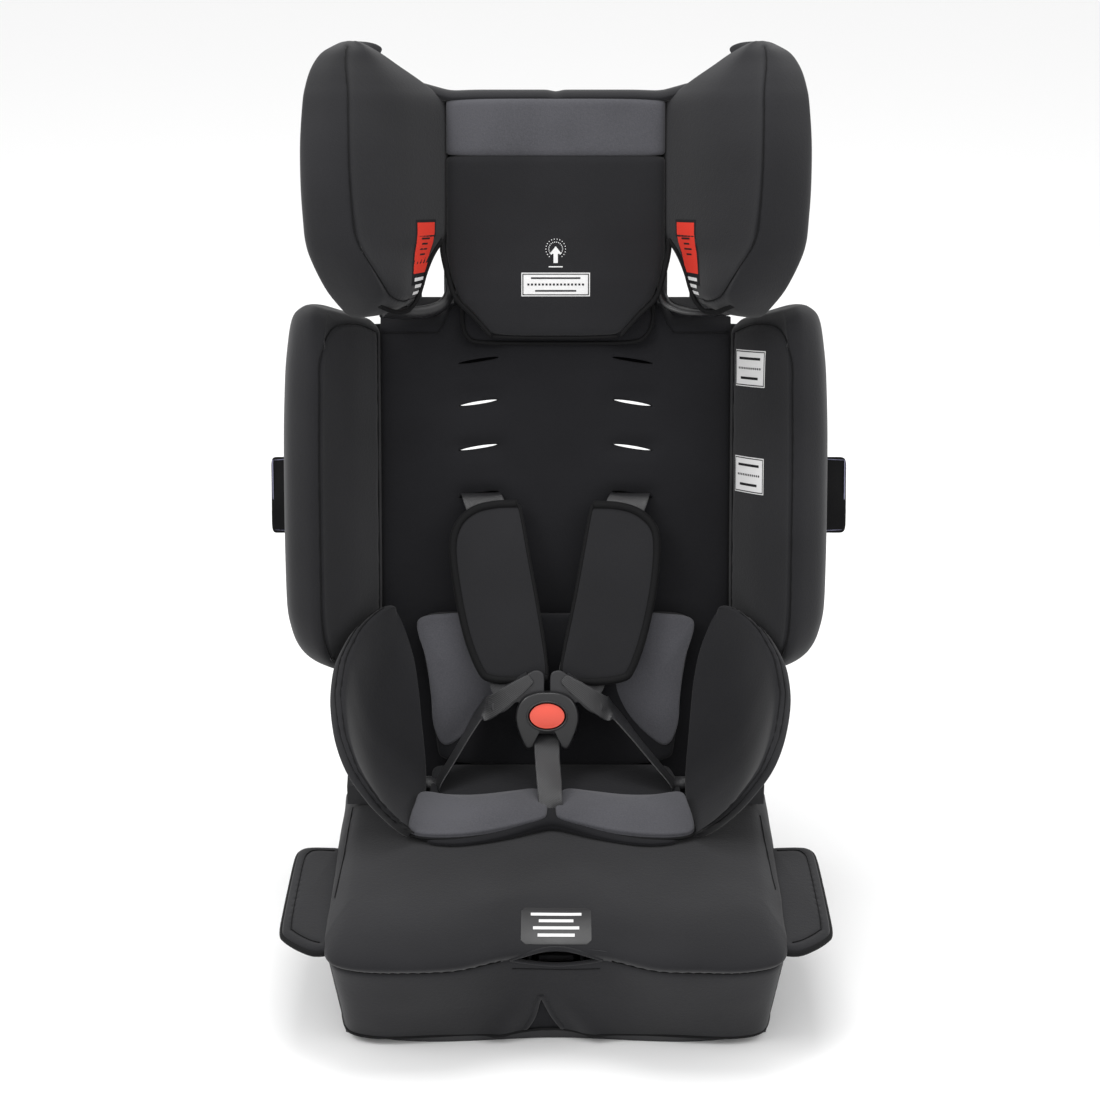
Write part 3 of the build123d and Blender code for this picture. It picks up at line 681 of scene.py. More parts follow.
def make_headrest_pods():
    heights = [440, 442, 445, 449, 455, 463, 473, 486, 500, 507, 514, 530, 550, 575, 600, 622, 640]
    heights += [648, 656, 664, 671, 677, 682, 686, 689.5, 692]
    for name, side in SIDES:
        pod = lofted(f"{name}_headrest_wing_cover", [pod_ring(side, s) for s in heights], *HEAD_CLOTH,
            2)
        bake(pod)
        line = back_line(side, ((132, 452, 62), (152, 463, 100), (167, 492, 126)))
        for s in (515, 545, 580, 615, 645, 665, 680, 688):
            _, _, xr, fr, _, _ = table(POD, s)
            line.append(on_back(side * (xr + 1), s, fr))
        sew(pod, [catmull(line, 8)], "headrest", "charcoal_fabric")
        upholster(f"{name}_headrest_pod")
        hem = back_line(side, ((160, 452, 98), (148, 446, 76), (138, 446, 58)))
        for s in (451, 458, 470, 485, 500, 512):
            xi, fi = table(POD, s)[:2]
            hem.append(on_back(side * xi, s, fi))
        tube(f"{name}_headrest_wing_binding", catmull(hem, 6), 2.2, *HEAD_EDGE)
        hook = ((98, 480, 8), (99, 463, 9), (106, 451, 12), (121, 445, 20), (141, 444, 34),
            (160, 446, 56))
        hook = back_line(side, hook)
        tube(f"{name}_sash_hook_lip", catmull(hook, 6), 6.5, SATIN, "headrest", "black_fabric",
            flat=0.55, around=14)


CENTRE = (  # height, half width, front f, back f
    (422, 60, 14, 7.5), (430, 68, 15.5, 8), (441, 77, 18, 9.4), (457, 92, 22, 9.6), (477, 99, 25.5, 12),
    (500, 103, 27.5, 14.6), (520, 103, 28.5, 14.6), (640, 103, 28.5, 14.6),
)


def centre_panel(name, low, high, material, slot, rows):
    rings = []
    for j in range(rows + 1):
        s = mix(low, high, j / rows)
        half, front, back = table(CENTRE, s)
        ring = []
        for i in range(25):
            u = -1 + 2 * i / 24
            crown = 2.5 * (1 - u ** 4)
            edge = -2.0 * smooth((abs(u) - 0.95) / 0.05)
            ends = -2.2 * math.exp(-min(s - low, high - s) / 1.4)
            ring.append(on_back(u * half, s, front + crown + edge + ends))
        for i in range(9):
            u = 1 - 2 * i / 8
            ring.append(on_back(u * (half - 1), s, back))
        rings.append(ring)
    return lofted(name, rings, material, "headrest", slot, 1)


def make_headrest_centre():
    lower = centre_panel("headrest_front_panel", 422, 590.2, CHARCOAL, "charcoal_fabric", 34)
    band = centre_panel("headrest_grey_band", 588.2, 641.5, GREY, "insert_grey_fabric", 14)
    upholster("headrest_cushion")
    rows = []
    for s, f in ((637.5, 24.0), (640.4, 29.0), (643, 28.4), (647, 24), (649.5, 17), (649.5, 10),
        (646, 3.5), (642, 2.6)):
        row = []
        for i in range(41):
            x = -126 + 252 * i / 40
            dip = 2.2 * math.exp(-((x / 3.2) ** 2))
            flare = max(abs(x) - 98, 0)
            row.append(on_back(x, s - dip + 0.8 * smooth((100 - abs(x)) / 30) + flare * 0.28,
                f - flare * 0.1))
        rows.append(row)
    roll = grid("headrest_top_gusset", rows, *HEAD_CLOTH, 2, thick=1.5)
    for side in (-1, 1):
        edge = back_line(side, ((105, 511, 27), (105.5, 500, 27), (100.5, 477, 25), (93.5, 457, 21),
            (78, 441, 17), (61, 421.5, 13)))
        tube(f"headrest_edge_binding_{1 if side > 0 else 2}", catmull(edge, 8), 2.3, *HEAD_EDGE)
    foot = [on_back(x, 421 - 1.2 * math.cos(x / 60 * 1.5), 12.8) for x in range(-61, 62, 6)]
    tube("headrest_foot_binding", foot, 1.6, *HEAD_EDGE)


def make_apron():
    outline = [(-60, 498), (-80, 470), (-87, 450), (-87.5, 432), (-83, 420), (-72, 415.5), (-36, 414.5),
        (0, 414.5), (36, 414.5)]
    outline += [(72, 415.5), (84, 420), (91, 432), (91, 450), (80, 470), (60, 498), (0, 502)]
    apron = cushion(
        "headrest_apron_cover", rounded(outline, 4), lambda u, v, d: on_back(u, v, 1.0 + d), 2.4, 0.3,
        BLACK, "headrest", "black_fabric", core=(0, 455), levels=1,
    )
    upholster("headrest_apron")
    edge = [on_back(x, s, 3.2) for x, s in outline[1:14]]
    tube("headrest_apron_binding", catmull(edge, 6), 2.1, *HEAD_EDGE)


# ---------------------------------------------------------------- seat base
def base_ring(z, grow, inset_x=0.0, inset_y=0.0):
    """Plan of the base cover at height z, from the rear of one side round the front to the other."""
    rise = z / 104
    half = 186 + 11 * rise + grow
    corner, lobe, middle = -184 - 38 * rise - grow, -199 - 43 * rise - grow, -193 - 21 * rise - grow
    front = [(half, corner + 46), (half - 1, corner + 16), (half - 9, corner - 7),
        (0.84 * half, (corner + lobe) / 2 - 8)]
    front += [(0.66 * half, lobe), (0.42 * half, lobe + 4), (0.2 * half, middle - 3)]
    mirrored = [(-x, y) for x, y in reversed(front)]
    keys = [(half, 80), (half, 20), (half, -50)] + front + [(0, middle)] + mirrored + [(-half, -50),
        (-half, 20), (-half, 80)]
    ring = []
    for p in catmull([(x, y, 0) for x, y in keys], 5):
        x = p.x * (1 - inset_x / half)
        y = 80 + (p.y - 80) * (1 - inset_y / 310)
        reach = max(66 - z, 0) / 56
        front = smooth((-150 - p.y) / 30)
        spread = 6 + 24 * reach
        middle = p.x + 13 - 4 * reach
        fold = math.exp(-((middle / spread) ** 2)) * front
        ridges = math.exp(-(((abs(middle) - spread * 1.35) / (3 + 6 * reach)) ** 2)) * front
        y -= smooth(reach) * 5.0 * ridges
        ring.append(Vector((x, y, z + 4 * smooth(reach) * fold)))
    return ring


def rear_edge(ring, z_of):
    """Closes a plan along its straight rear edge."""
    count = 12
    x = ring[-1].x
    return ring + [Vector((mix(x, -x, i / count), 80, z_of)) for i in range(1, count)]


def make_base_cover():
    rows = [(8, 3, 0, 0), (9, 3.2, 0, 0), (14, 3, 0, 0), (20, 3, 0, 0), (27, 3, 0, 0), (35, 3, 0, 0),
        (44, 3, 0, 0)]
    rows += [(53, 3.2, 0, 0), (62, 3.2, 0, 0), (74, 3.2, 0, 0), (84, 3.2, 0, 0), (90, 3, 0, 0),
        (92.5, 2.4, 0, 0)]
    rows += [(93.6, 1.6, 0, 0), (95, 3, 0, 0), (98, 5, 0, 0), (101, 5.2, 0, 0), (104, 4, 0, 1),
        (107.5, 3, 1.5, 6)]
    rows += [(111, 2, 4, 14), (114.5, 1, 8, 25), (118, 0.5, 13, 39), (120.4, 0, 20, 58)]
    rings = [rear_edge(base_ring(*row), row[0]) for row in rows]
    top = rings[-1]
    for scale in (0.86, 0.66, 0.42, 0.2, 0.06):
        rings.append([Vector((p.x * scale, -70 + (p.y + 70) * scale, 121.2)) for p in top])
    count = len(top)
    verts = [v for ring in rings for v in ring]
    faces = ring_faces(len(rings), count)
    verts.append(Vector((0, -70, 121.2)))
    last = (len(rings) - 1) * count
    faces += [(last + i, last + (i + 1) % count, len(verts) - 1) for i in range(count)]
    cover = piece("seat_cover", verts, faces, *SEAT_CLOTH, 1)
    depth = cover.modifiers.new("thickness", "SOLIDIFY")
    depth.thickness = 2.4 * MM
    depth.offset = -1
    bake(cover)
    crumple(cover, 0.9, 45, 3)
    lens = []
    for y in (-280, -180):
        for k in range(24):
            turn = 2 * math.pi * k / 24
            high = 9 if math.sin(turn) > 0 else 6.5
            lens.append(Vector((37 * math.cos(turn), y,
                93.5 + high * math.sin(turn) * abs(math.sin(turn)))))
    cut(cover, piece("eye_cutter", lens, prism_faces(24), *SEAT_CLOTH, 0))
    pleat = [(-13, 50), (-9.5, 44), (-3, 27), (7, 9), (9, -5), (-31, -5), (-28, 9), (-19.5, 27),
        (-16, 44)]
    wedge = [Vector((x, y, z)) for y in (-280, -180) for x, z in pleat]
    cut(cover, piece("pleat_cutter", wedge, prism_faces(len(pleat)), *SEAT_CLOTH, 0))
    # Black cloth behind the pleat opening, darker than the cover: painted shade for the shaded inside of
    # the fold.
    pleat_shade_rows = []
    for j in range(9):
        z = 9.5 + 45 * j / 8
        near = [p for p in base_ring(z, 1.1) if p.y < -150]
        row = []
        for i in range(17):
            x = -35 + 48 * i / 16
            y = min(near, key=lambda p: abs(p.x - x)).y
            row.append(Vector((x, y + 0.4 * math.sin(i * 1.9 + j * 0.4), z)))
        pleat_shade_rows.append(row)
    grid("seat_cover_pleat_painted_shade", pleat_shade_rows, *SEAT_BLACK, 1)
    front = base_ring(93.6, 1.8)
    seam = [p for p in front if p.y < -90]
    near = [p for p in seam if p.x > 40]
    far = [p for p in seam if p.x < -40]
    sides = []
    for side in (-1, 1):
        sides.append(catmull([(side * x, y, z) for x, y,
            z in ((190, 70, 112), (192, 0, 113), (194, -80, 112), (196, -150, 108), (198, -205, 99))],
            10))
    sew(cover, [near, far] + sides, "seat", "charcoal_fabric", depth=1.2, width=5, thread=0.6)
    upholster("base_cover")
    tree = surface_of(cover)
    for name, high, radius in (("upper", 10.2, 1.9), ("lower", -7.6, 1.8)):
        lip = []
        for i in range(19):
            x = -40 + 80 * i / 18
            start = Vector((x, -300, 94 + high * math.cos(x / 41 * math.pi / 2)))
            hit = tree.ray_cast(start * MM, Vector((0, 1, 0)))
            lip.append((hit[0] / MM if hit[0] and hit[0].y / MM < -195 else Vector((x, -216,
                start.z))) + Vector((0, 0.6, 0)))
        for i in (3, 6, 9, 12, 15):
            lip[i].y = min(lip[i].y, (lip[i - 1].y + lip[i + 1].y) / 2)
        tube(f"adjuster_eye_{name}_lip", catmull(lip, 2), radius, *SEAT_CLOTH, around=10)
    for name, edge in (("left", [(-12.5, 52), (-9, 44), (-2, 27), (8.5, 10)]),
        ("right", [(-13.5, 52), (-16.5, 44), (-20.5, 27), (-29.5, 10)])):
        lip = []
        for p in catmull([(x, 0, z) for x, z in edge], 5):
            hit = tree.ray_cast(Vector((p.x + (1.5 if name == "left" else -1.5), -300, p.z)) * MM,
                Vector((0, 1, 0)))
            lip.append(Vector((p.x, (hit[0].y / MM if hit[0] else -200) + 1.2, p.z)))
        tube(f"{name}_pleat_lip", lip, 2.6, *SEAT_CLOTH, around=10)
    stitch = on_surface(tree, [(x, -216, 80.5 + 4 * (x / 38) ** 2) for x in range(-38, 39, 4)])
    tube("adjuster_eye_stitch", [p + Vector((0, -0.2, 0)) for p in stitch], 0.45, BINDING, "seat",
        "charcoal_fabric", around=6)
    hem = [p + Vector((0, 0, 0.6)) for p in base_ring(8, 3.0)]
    tube("seat_cover_hem", hem, 1.5, BINDING, "seat", "charcoal_fabric", around=8)
    foam_rows = [(104.2, -3, 3, 10), (107, -3, 6, 18), (111, -3.5, 11, 32), (115, -4, 20, 52)]
    foam = lofted("seat_foam_block", [rear_edge(base_ring(*row), row[0]) for row in foam_rows], FOAM,
        "seat", "foam", 0)
    for v in foam.data.vertices:
        v.co.y = min(v.co.y, 77.5 * MM)
    upholster("seat_foam")
    return cover


def make_side_flaps():
    shape = [(200, -34), (226, -33), (235, -38), (238, -52), (239, -100), (239.5, -150), (239, -182),
        (235, -194), (222, -208), (208, -217), (193, -215)]
    for name, side in SIDES:
        outline = [p.xy for p in catmull([(side * x, y, 0) for x, y in shape], 4)]
        outline += [(side * x, y) for x, y in ((195, -203), (197, -190), (198.8, -170), (199.3, -110),
            (199.5, -70), (199.5, -45))]
        flap = cushion(
            f"{name}_flap_cover", outline, lambda u, v, d: Vector((u, v, 94.4 + d)), 10.6, 1.6,
            *SEAT_CLOTH, core=(side * 220, -120),
        )
        bake(flap)
        inner = [(side * x, y, 106) for x, y in ((204, -43), (222, -42), (228, -48), (230.5, -60),
            (231.5, -110), (231.5, -176), (228, -188), (214, -202), (204, -207))]
        sew(flap, [catmull(inner, 6)], "seat", "charcoal_fabric", depth=1.0, width=4)
        upholster(f"{name}_side_flap")
        edge = [Vector((p[0], p[1], 99.6)) for p in outline[:41]]
        tube(f"{name}_flap_binding", edge, 2.6, *SEAT_EDGE)


# ---------------------------------------------------------------- infant insert
def make_insert():
    half_seat = [(110, 74), (117, 40), (118, 0), (119, -30), (117, -52), (106, -64), (82, -67),
        (56, -61), (32, -52), (11, -42)]
    outline = [p.xy for p in catmull([(x, y, 0) for x,
        y in half_seat] + [(-4, -37, 0)] + [(-8 - x, y, 0) for x, y in reversed(half_seat)], 3)]
    outline += [(x, 76) for x in (-100, -70, -40, 0, 40, 70, 100)]
    seat = cushion(
        "insert_seat_cover", outline, lambda u, v, d: Vector((min(max(u, -118), 118), v,
        121.4 + d * (1 - 0.62 * smooth((-v - 20) / 45)))), 14, 2,
        *SEAT_BLACK, core=(-4, 20),
    )
    upholster("insert_seat_pad")
    for name, side in SIDES:
        lobe = [(13, 16), (34, 12), (68, 4), (98, 4), (122, 10), (127, -12), (131, -38), (129, -53),
            (112, -60), (84, -59.5), (56, -53), (30, -43.5), (9, -35), (4, -26), (5, 0)]
        shape = rounded([(-4 + side * x, y) for x, y in lobe], 4)
        top = cushion(
            f"{name}_insert_lobe", shape, lambda u, v,
            d: Vector((u, v, 133.0 + d * 0.9 - 7 * smooth((-v - 8) / 52))), 7.5, 5.5,
            *SEAT_GREY, core=(-4 + side * 70, -24),
        )
        rim = [Vector((p[0], p[1], 133.4 - 7 * smooth((-p[1] - 8) / 52))) for p in shape]
        tube(f"{name}_insert_lobe_piping", rim, 1.5, *SEAT_EDGE, closed=True, around=8)
    back = [(-112, 16), (-118, 60), (-121, 90), (-127, 125), (-130, 146), (-118, 157), (-80, 158),
        (-30, 157)]
    back += [(-x, s) for x, s in reversed(back)]
    shape = [p.xy for p in catmull([(x, s, 0) for x, s in back], 4)] + [(x, 10) for x in (80, 40, 0,
        -40, -80)]
    pad = cushion(
        "insert_back_cover", shape, lambda u, v, d: on_back(u, v, 0.6 + d), 16, 3,
        *SEAT_BLACK, core=(0, 92),
    )
    upholster("insert_back_pad")
    for name, side in SIDES:
        panel = [(128, 154), (106, 157.5), (84, 156), (70, 132), (55, 97), (64, 68), (84, 44),
            (106, 30), (117, 50), (119, 78), (124, 115), (132, 143)]
        shape = rounded([(side * x, s) for x, s in panel], 4)
        grey = cushion(
            f"{name}_insert_side_panel", shape, lambda u, v, d: on_back(u, v, 11 + d), 8, 5,
            *SEAT_GREY, core=(side * 96, 98),
        )


RIM = (  # place along the bolster, rim x, y, z, thickness, valley x, y, z
    (0.0, 127, -52, 128, 5, 123, -50, 123), (0.03, 132, -58, 134, 8, 122, -50, 122.5),
    (0.09, 143, -68, 148, 12, 121.5, -47, 122), (0.18, 160, -75, 169, 14, 121, -42, 122),
    (0.32, 183, -64, 197, 15, 121, -30, 122), (0.46, 198, -38, 221, 15, 121, -10, 122),
    (0.60, 205, -3, 246, 15, 121, 12, 124), (0.74, 201, 30, 267, 15, 121, 36, 138),
    (0.86, 187, 62, 284, 14, 124, 56, 178), (0.94, 171, 86, 290, 13, 131, 78, 236),
    (1.0, 153, 106, 292, 9, 142, 100, 270),
)
SLIM = {1: 1.0, -1: 0.9}              # the bolster at negative x bulges out less


def bolster_ring(side, t):
    x, y, z, thick, vx, vy, vz = table(RIM, t)
    x = 121 + (x - 121) * SLIM[side]
    rim = Vector((x, y, z))
    valley = Vector((vx, vy, vz))
    climb = rim - valley
    outward = Vector((1, 0, 0)) - climb.normalized() * climb.normalized().x
    outward.normalize()
    over = climb.normalized()
    slim = 0.25 + 0.75 * min((1 - t) / 0.025, 1) ** 0.5
    sag = min(18, climb.length * 0.12)
    inner = [valley, valley + climb * 0.25 + outward * sag * 0.75, valley + climb * 0.5 + outward * sag]
    inner += [valley + climb * 0.75 + outward * sag * 0.55, valley + climb * 0.93 + outward * 1.0,
        rim - over * 2]
    crest = [rim + outward * thick * 0.18 + over * 1.6, rim + outward * thick * 0.5 + over * 2.4,
        rim + outward * thick * 0.82 + over * 1.2]
    outer = [rim + outward * (thick + 0.5) - over * 3, rim + outward * (thick + 2) - climb * 0.25]
    outer += [rim + outward * (thick + 3) - climb * 0.55, valley + outward * (thick + 2) + climb * 0.2,
        valley + outward * (thick - 2) + Vector((0, 0, 1))]
    ring = []
    loop = catmull(inner + crest + outer, 2, closed=True)
    middle = sum(loop, Vector()) / len(loop)
    for p in loop:
        p = middle + (p - middle) * slim if t > 0.5 else p
        ring.append(Vector((side * max(p.x, 118.8), p.y, max(p.z, 121.8))))
    return ring


def make_bolsters():
    steps = [0.0, 0.012, 0.03, 0.06, 0.09, 0.135, 0.19, 0.26, 0.34, 0.42, 0.5, 0.58, 0.66, 0.73, 0.79,
        0.85, 0.9, 0.94, 0.97, 0.99, 1.0]
    for name, side in SIDES:
        bolster = lofted(f"{name}_bolster_cover", [bolster_ring(side, t) for t in steps], *SEAT_CLOTH,
            2)
        bake(bolster)
        rims = []
        for share in (0.05, 0.55):
            line = []
            for k in range(1, 25):
                x, y, z, thick = table(RIM, k / 25)[:4]
                line.append(Vector((side * (121 + (x - 121) * SLIM[side] + thick * share), y, z + 2)))
            rims.append(line)
        sew(bolster, rims, "seat", "charcoal_fabric", depth=1.2, width=4)
        crumple(bolster, 1.2, 60, 5 + side)
        upholster(f"{name}_bolster")


# ---------------------------------------------------------------- harness
PAD_SHAPES = {
    "right": [(-37, 262), (-58, 261), (-77, 256), (-91, 243), (-96, 221), (-91, 180), (-82, 139),
    (-70, 109), (-60, 101), (-34, 99), (-8, 101), (-11, 130), (-18, 173), (-26, 216), (-33, 255)],
    "left": [(36, 261), (58, 260), (76, 255), (90, 243), (94.5, 226), (92, 190), (83, 145), (71, 110),
    (61, 101), (34, 98), (4, 100), (9, 130), (18, 173), (26, 216), (33, 254)],
}
TONGUE_LEAN = math.radians(41)
BUCKLE_AT = (-8, 61, 48)               # x, height up the back, distance in front of it


def strap_centre(side, s):
    rise = (s - 100) / 158
    return on_back(side * (31 + 34 * rise), s, 39.5 - 27 * rise)


def pad_back(s):
    """Distance of a shoulder pad's back face in front of the cover."""
    return 39.5 - 27 * (s - 100) / 158 - 6


def by_buckle(side, x, s, f):
    """World point, in mm, measured from the middle of the buckle's rear face."""
    return on_back(BUCKLE_AT[0] + side * x, BUCKLE_AT[1] + s, BUCKLE_AT[2] + f)


def make_shoulder_pads():
    for name, side in SIDES:
        shape = PAD_SHAPES[name]
        outline = rounded(shape, 4)
        pad = cushion(
            f"{name}_shoulder_pad_cover", outline, lambda u, v, d: on_back(u, v, pad_back(v) + d), 12,
            2.4,
            PAD, "seat", "pad_fabric", core=(side * 50, 180),
        )
        upholster(f"{name}_shoulder_pad")
        edge = []
        for x, s in shape[:11]:
            away = Vector((x - side * 48, (s - 180) * 0.3)).normalized() * 1.2
            edge.append(on_back(x + away.x, s + away.y, pad_back(s) + 9.6))
        tube(f"{name}_shoulder_pad_binding", catmull(edge, 6), 3.9, *SEAT_EDGE, around=12)
        # Thin black tube along the pad's inner edge, which has no binding: painted shade line along that
        # edge.
        inner = [on_back(x, s, pad_back(s) + 10.5) for x, s in shape[10:] + shape[:1]]
        tube(f"{name}_shoulder_pad_inner_edge", catmull(inner, 6), 1.7, *SEAT_EDGE, around=8)


def spread(values, count, per):
    """Values given at the points of a route, evened out over the finer line through them."""
    last = len(values) - 1
    return [mix(values[min(i // per, last)], values[min(i // per + 1, last)],
        i / per % 1) for i in range(count)]


def make_straps():
    for name, side in SIDES:
        slot_way = Vector((side * math.cos(TONGUE_LEAN), 0, 0)) - UP_BACK * math.sin(TONGUE_LEAN)
        across_x = Vector((side, 0, 0))
        route = back_line(side, [(SLOT_X, s, -23.3) for s in (184, 220, 250)] + [(SLOT_X, 265, -21.5),
            (SLOT_X, 270.2, -14)])
        route += back_line(side, ((72.5, 270.6, -6), (71, 270, 1.5), (69, 266, 8)))
        route += [strap_centre(side, s) for s in (254, 220, 180, 150, 125)]
        turning = len(route)
        route += [by_buckle(side, *at) for at in ((37, 38, -7), (34, 34, 0), (31.5, 31, 5.8),
            (27.5, 26.5, 4.6))]
        across = [across_x] * turning + [across_x.lerp(slot_way, t).normalized() for t in (0.45, 0.8,
            1.0, 1.0)]
        line = catmull(route, 4)
        strap = ribbon(f"{name}_shoulder_webbing", line, 37, spread(across, len(line), 4), 1.5,
            *FREE_WEB)
        bake(strap)
        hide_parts(f"{name}_shoulder_strap")
        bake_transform(strap)
        foot = by_buckle(side, 63, 6, -8)
        square = Vector((side * math.sin(TONGUE_LEAN), 0, 0)) + UP_BACK * math.cos(TONGUE_LEAN)
        tuck = Vector((side * 112, 28, 136))
        edge_on = Vector((side * 0.2, 0.91, -0.36)).normalized()
        route = [by_buckle(side, *at) for at in ((15, 41, 5.5), (28, 31.5, 7.8), (42, 21.5, 7.4),
            (53, 13, 2))]
        route += [foot, foot.lerp(tuck, 0.35), foot.lerp(tuck, 0.7), tuck]
        route += [Vector((side * x, y, z)) for x, y,
            z in ((111, 36, 126), (103, 57, 121), (98, 64, 110), (98, 64, 95))]
        across = [square.lerp(edge_on, t) for t in (0, 0, 0.15, 0.45, 0.85, 1, 1, 1)] + [across_x] * 4
        widths = [9, 15, 18, 21, 28, 34, 34, 34, 36, 37, 37, 37]
        line = catmull(route, 4)
        broad, ways = spread(widths, len(line), 4), spread(across, len(line), 4)
        strap = ribbon(f"{name}_lap_webbing", line, broad, ways, 1.5, *FREE_WEB)
        bake(strap)
        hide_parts(f"{name}_lap_strap")
        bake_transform(strap)
    route = [(-4, -43, 95), (-4, -43, 114), (-4, -38, 119.5), (-4, -27, 121.5), (-4.5, -20, 131)]
    route += [(-5, -14, 142), (-6, 2, 152), (-8, 30, 167), on_back(-8, 48.5, 48)]
    line = catmull(route, 5)
    ways = [Vector((1, 0.28 * math.sin(i * 0.42), 0.1 * math.sin(i * 0.3))) for i in range(len(line))]
    broad = [25 - 2.2 * math.sin(i / len(line) * math.pi) for i in range(len(line))]
    strap = ribbon("crotch_webbing", line, broad, ways, 1.6, *SEAT_WEB)
    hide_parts("crotch_strap")
    bend = on_back(0, -8, -23.5)
    route = [on_back(0, s, -23.5) for s in (149, 80, 10)] + [bend + Vector((0, -1, -8))]
    route += [(0, bend.y, 100), (0, bend.y - 1, 88), (0, bend.y - 9, 80.5)]
    route += [(0, 40, 79.5), (0, -60, 79), (0, -140, 79.5), (0, -196, 80)]
    strap = ribbon("adjuster_webbing", catmull(route, 4), 37, Vector((1, 0, 0)), 1.5, *SEAT_WEB)
    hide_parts("adjuster_strap")


HOUSING = [(0, 28.5), (12, 27.5), (22, 23), (28, 14), (30, 4), (28.5, -6), (24.5, -17), (20.5, -25),
    (17.5, -26.5), (15.2, -25), (14.8, -17), (14.6, -12.6), (12, -11.8), (0, -11.6)]
TONGUE_PLATE = [(3, 5), (20, 5), (24, 15), (30, 17.5), (37, 11), (44, 7), (51, 8), (53, 14), (48, 20),
    (30, 34), (17, 45.5), (11, 48), (5, 46.5), (2.8, 41), (2.8, 30)]
BUTTON_AT = 6


def prism(name, shape, near, far):
    """Closed cutter through an outline; near and far give world points for u, v."""
    verts = [near(u, v) for u, v in shape] + [far(u, v) for u, v in shape]
    return piece(name, verts, prism_faces(len(shape)), *BUCKLE_SHELL, 0)


def make_buckle():
    half = HOUSING[1:-1]
    outline = [HOUSING[0]] + half + [HOUSING[-1]] + [(-u, v) for u, v in reversed(half)]
    shape = rounded(outline, 4)
    housing = cushion(
        "buckle_front", shape, lambda u, v, d: by_buckle(1, u, v, d), 11.6, 2.2,
        *BUCKLE_SHELL, core=(0, 6), groove=0,
    )
    bake(housing)
    well = prism(
        "button_well", oval(40, 18.2, 13.4), lambda u, v: by_buckle(1, u, v + BUTTON_AT, 8.0), lambda u,
        v: by_buckle(1, u, v + BUTTON_AT, 30),
    )
    cut(housing, well)
    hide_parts("buckle_front_housing")
    rim = [by_buckle(1, u, v + BUTTON_AT, 13.2) for u, v in oval(48, 18.6, 13.8)]
    tube("buckle_button_rim", rim, 1.0, *BUCKLE_SHELL, closed=True, around=10)
    button = cushion(
        "buckle_release_button", oval(40, 16.5, 12), lambda u, v,
        d: by_buckle(1, u, v + BUTTON_AT, 11.7 + d), 1.3, 1.4,
        RED, "buckle_button", "button_red", core=(0, 0), groove=0,
    )
    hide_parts("buckle_button")
    for name, side in SIDES:
        shape = rounded(TONGUE_PLATE, 4)
        plate = cushion(
            f"{name}_tongue_plate", shape, lambda u, v, d: by_buckle(side, u, v, 2.1 + d), 2.8, 0.3,
            TONGUE, f"{name}_tongue", "tongue_metal", core=(22, 26), groove=0, levels=1,
        )
        bake(plate)
        way = Vector((math.cos(TONGUE_LEAN), -math.sin(TONGUE_LEAN)))
        off = Vector((-way.y, way.x))
        slot = []
        for u, v in oval(28, 18.5, 1.0):
            at = Vector((28, 26.8)) + way * u + off * math.copysign(min(abs(v) * 4.4, 2.3), v)
            slot.append(tuple(at))
        cutter = prism(
            "tongue_cutter", slot, lambda u, v: by_buckle(side, u, v, -4), lambda u,
            v: by_buckle(side, u, v, 12),
        )
        cut(plate, cutter)
        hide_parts(f"{name}_tongue")
        lip = [by_buckle(side, u, v, 4.9) for u, v in slot]
        tube(f"{name}_tongue_slot_rim", lip, 1.1, TONGUE, f"{name}_tongue", "tongue_metal", closed=True,
            around=8)


# ---------------------------------------------------------------- printed patches
def patch(name, target, centre, right, up, shapes, material, body, slot, lift=0.3):
    """Printed shapes laid on a surface: each is four corners (u, v) in mm from the centre."""
    tree = surface_of(target)
    right = Vector(right).normalized()
    up = Vector(up)
    up = (up - right * up.dot(right)).normalized()
    out = right.cross(up)
    verts = []
    faces = []
    for corners in shapes:
        start = len(verts)
        n = 5
        for j in range(n + 1):
            for i in range(n + 1):
                a = Vector(corners[0]).lerp(Vector(corners[1]), i / n)
                b = Vector(corners[3]).lerp(Vector(corners[2]), i / n)
                u, v = a.lerp(b, j / n)
                at = Vector(centre) + right * u + up * v
                hit = tree.ray_cast((at + out * 60) * MM, -out)
                if hit[0]:
                    at = hit[0] / MM
                verts.append(at + out * lift)
        for j in range(n):
            for i in range(n):
                a = start + j * (n + 1) + i
                faces.append((a, a + 1, a + n + 2, a + n + 1))
    return piece(name, verts, faces, material, body, slot, 0)


def clipped(wide, high, corner):
    """Rectangle with clipped corners, as three quads."""
    u, v, c = wide / 2, high / 2, corner
    return [bar(0, 0, wide, high - 2 * c), [(-u, v - c), (u, v - c), (u - c, v), (c - u, v)],
        [(c - u, -v), (u - c, -v), (u, c - v), (-u, c - v)]]


def bar(u, v, wide, high):
    return [(u - wide / 2, v - high / 2), (u + wide / 2, v - high / 2), (u + wide / 2, v + high / 2),
        (u - wide / 2, v + high / 2)]


def lined_label(name, target, centre, right, up, wide, high, body, slot):
    """White woven label with a dark border, a dotted line and two bars in place of words."""
    args = (target, centre, right, up)
    patch(name, *args, [bar(0, 0, wide, high)], WHITE, body, slot, 0.3)
    edge = 0.9
    frame_bars = [bar(0, high / 2 - 1.4, wide - 2, edge), bar(0, 1.4 - high / 2, wide - 2, edge)]
    frame_bars += [bar(wide / 2 - 1.4, 0, edge, high - 2), bar(1.4 - wide / 2, 0, edge, high - 2)]
    count = int((wide - 8) / 3.4)
    frame_bars += [bar((i - (count - 1) / 2) * 3.4, 0, 1.9, 1.9) for i in range(count)]
    frame_bars += [bar(0, high * 0.27, wide * 0.72, high * 0.07),
        bar(0, -high * 0.27, wide * 0.6, high * 0.07)]
    patch(f"{name}_lines", *args, frame_bars, INK, body, slot, 0.5)


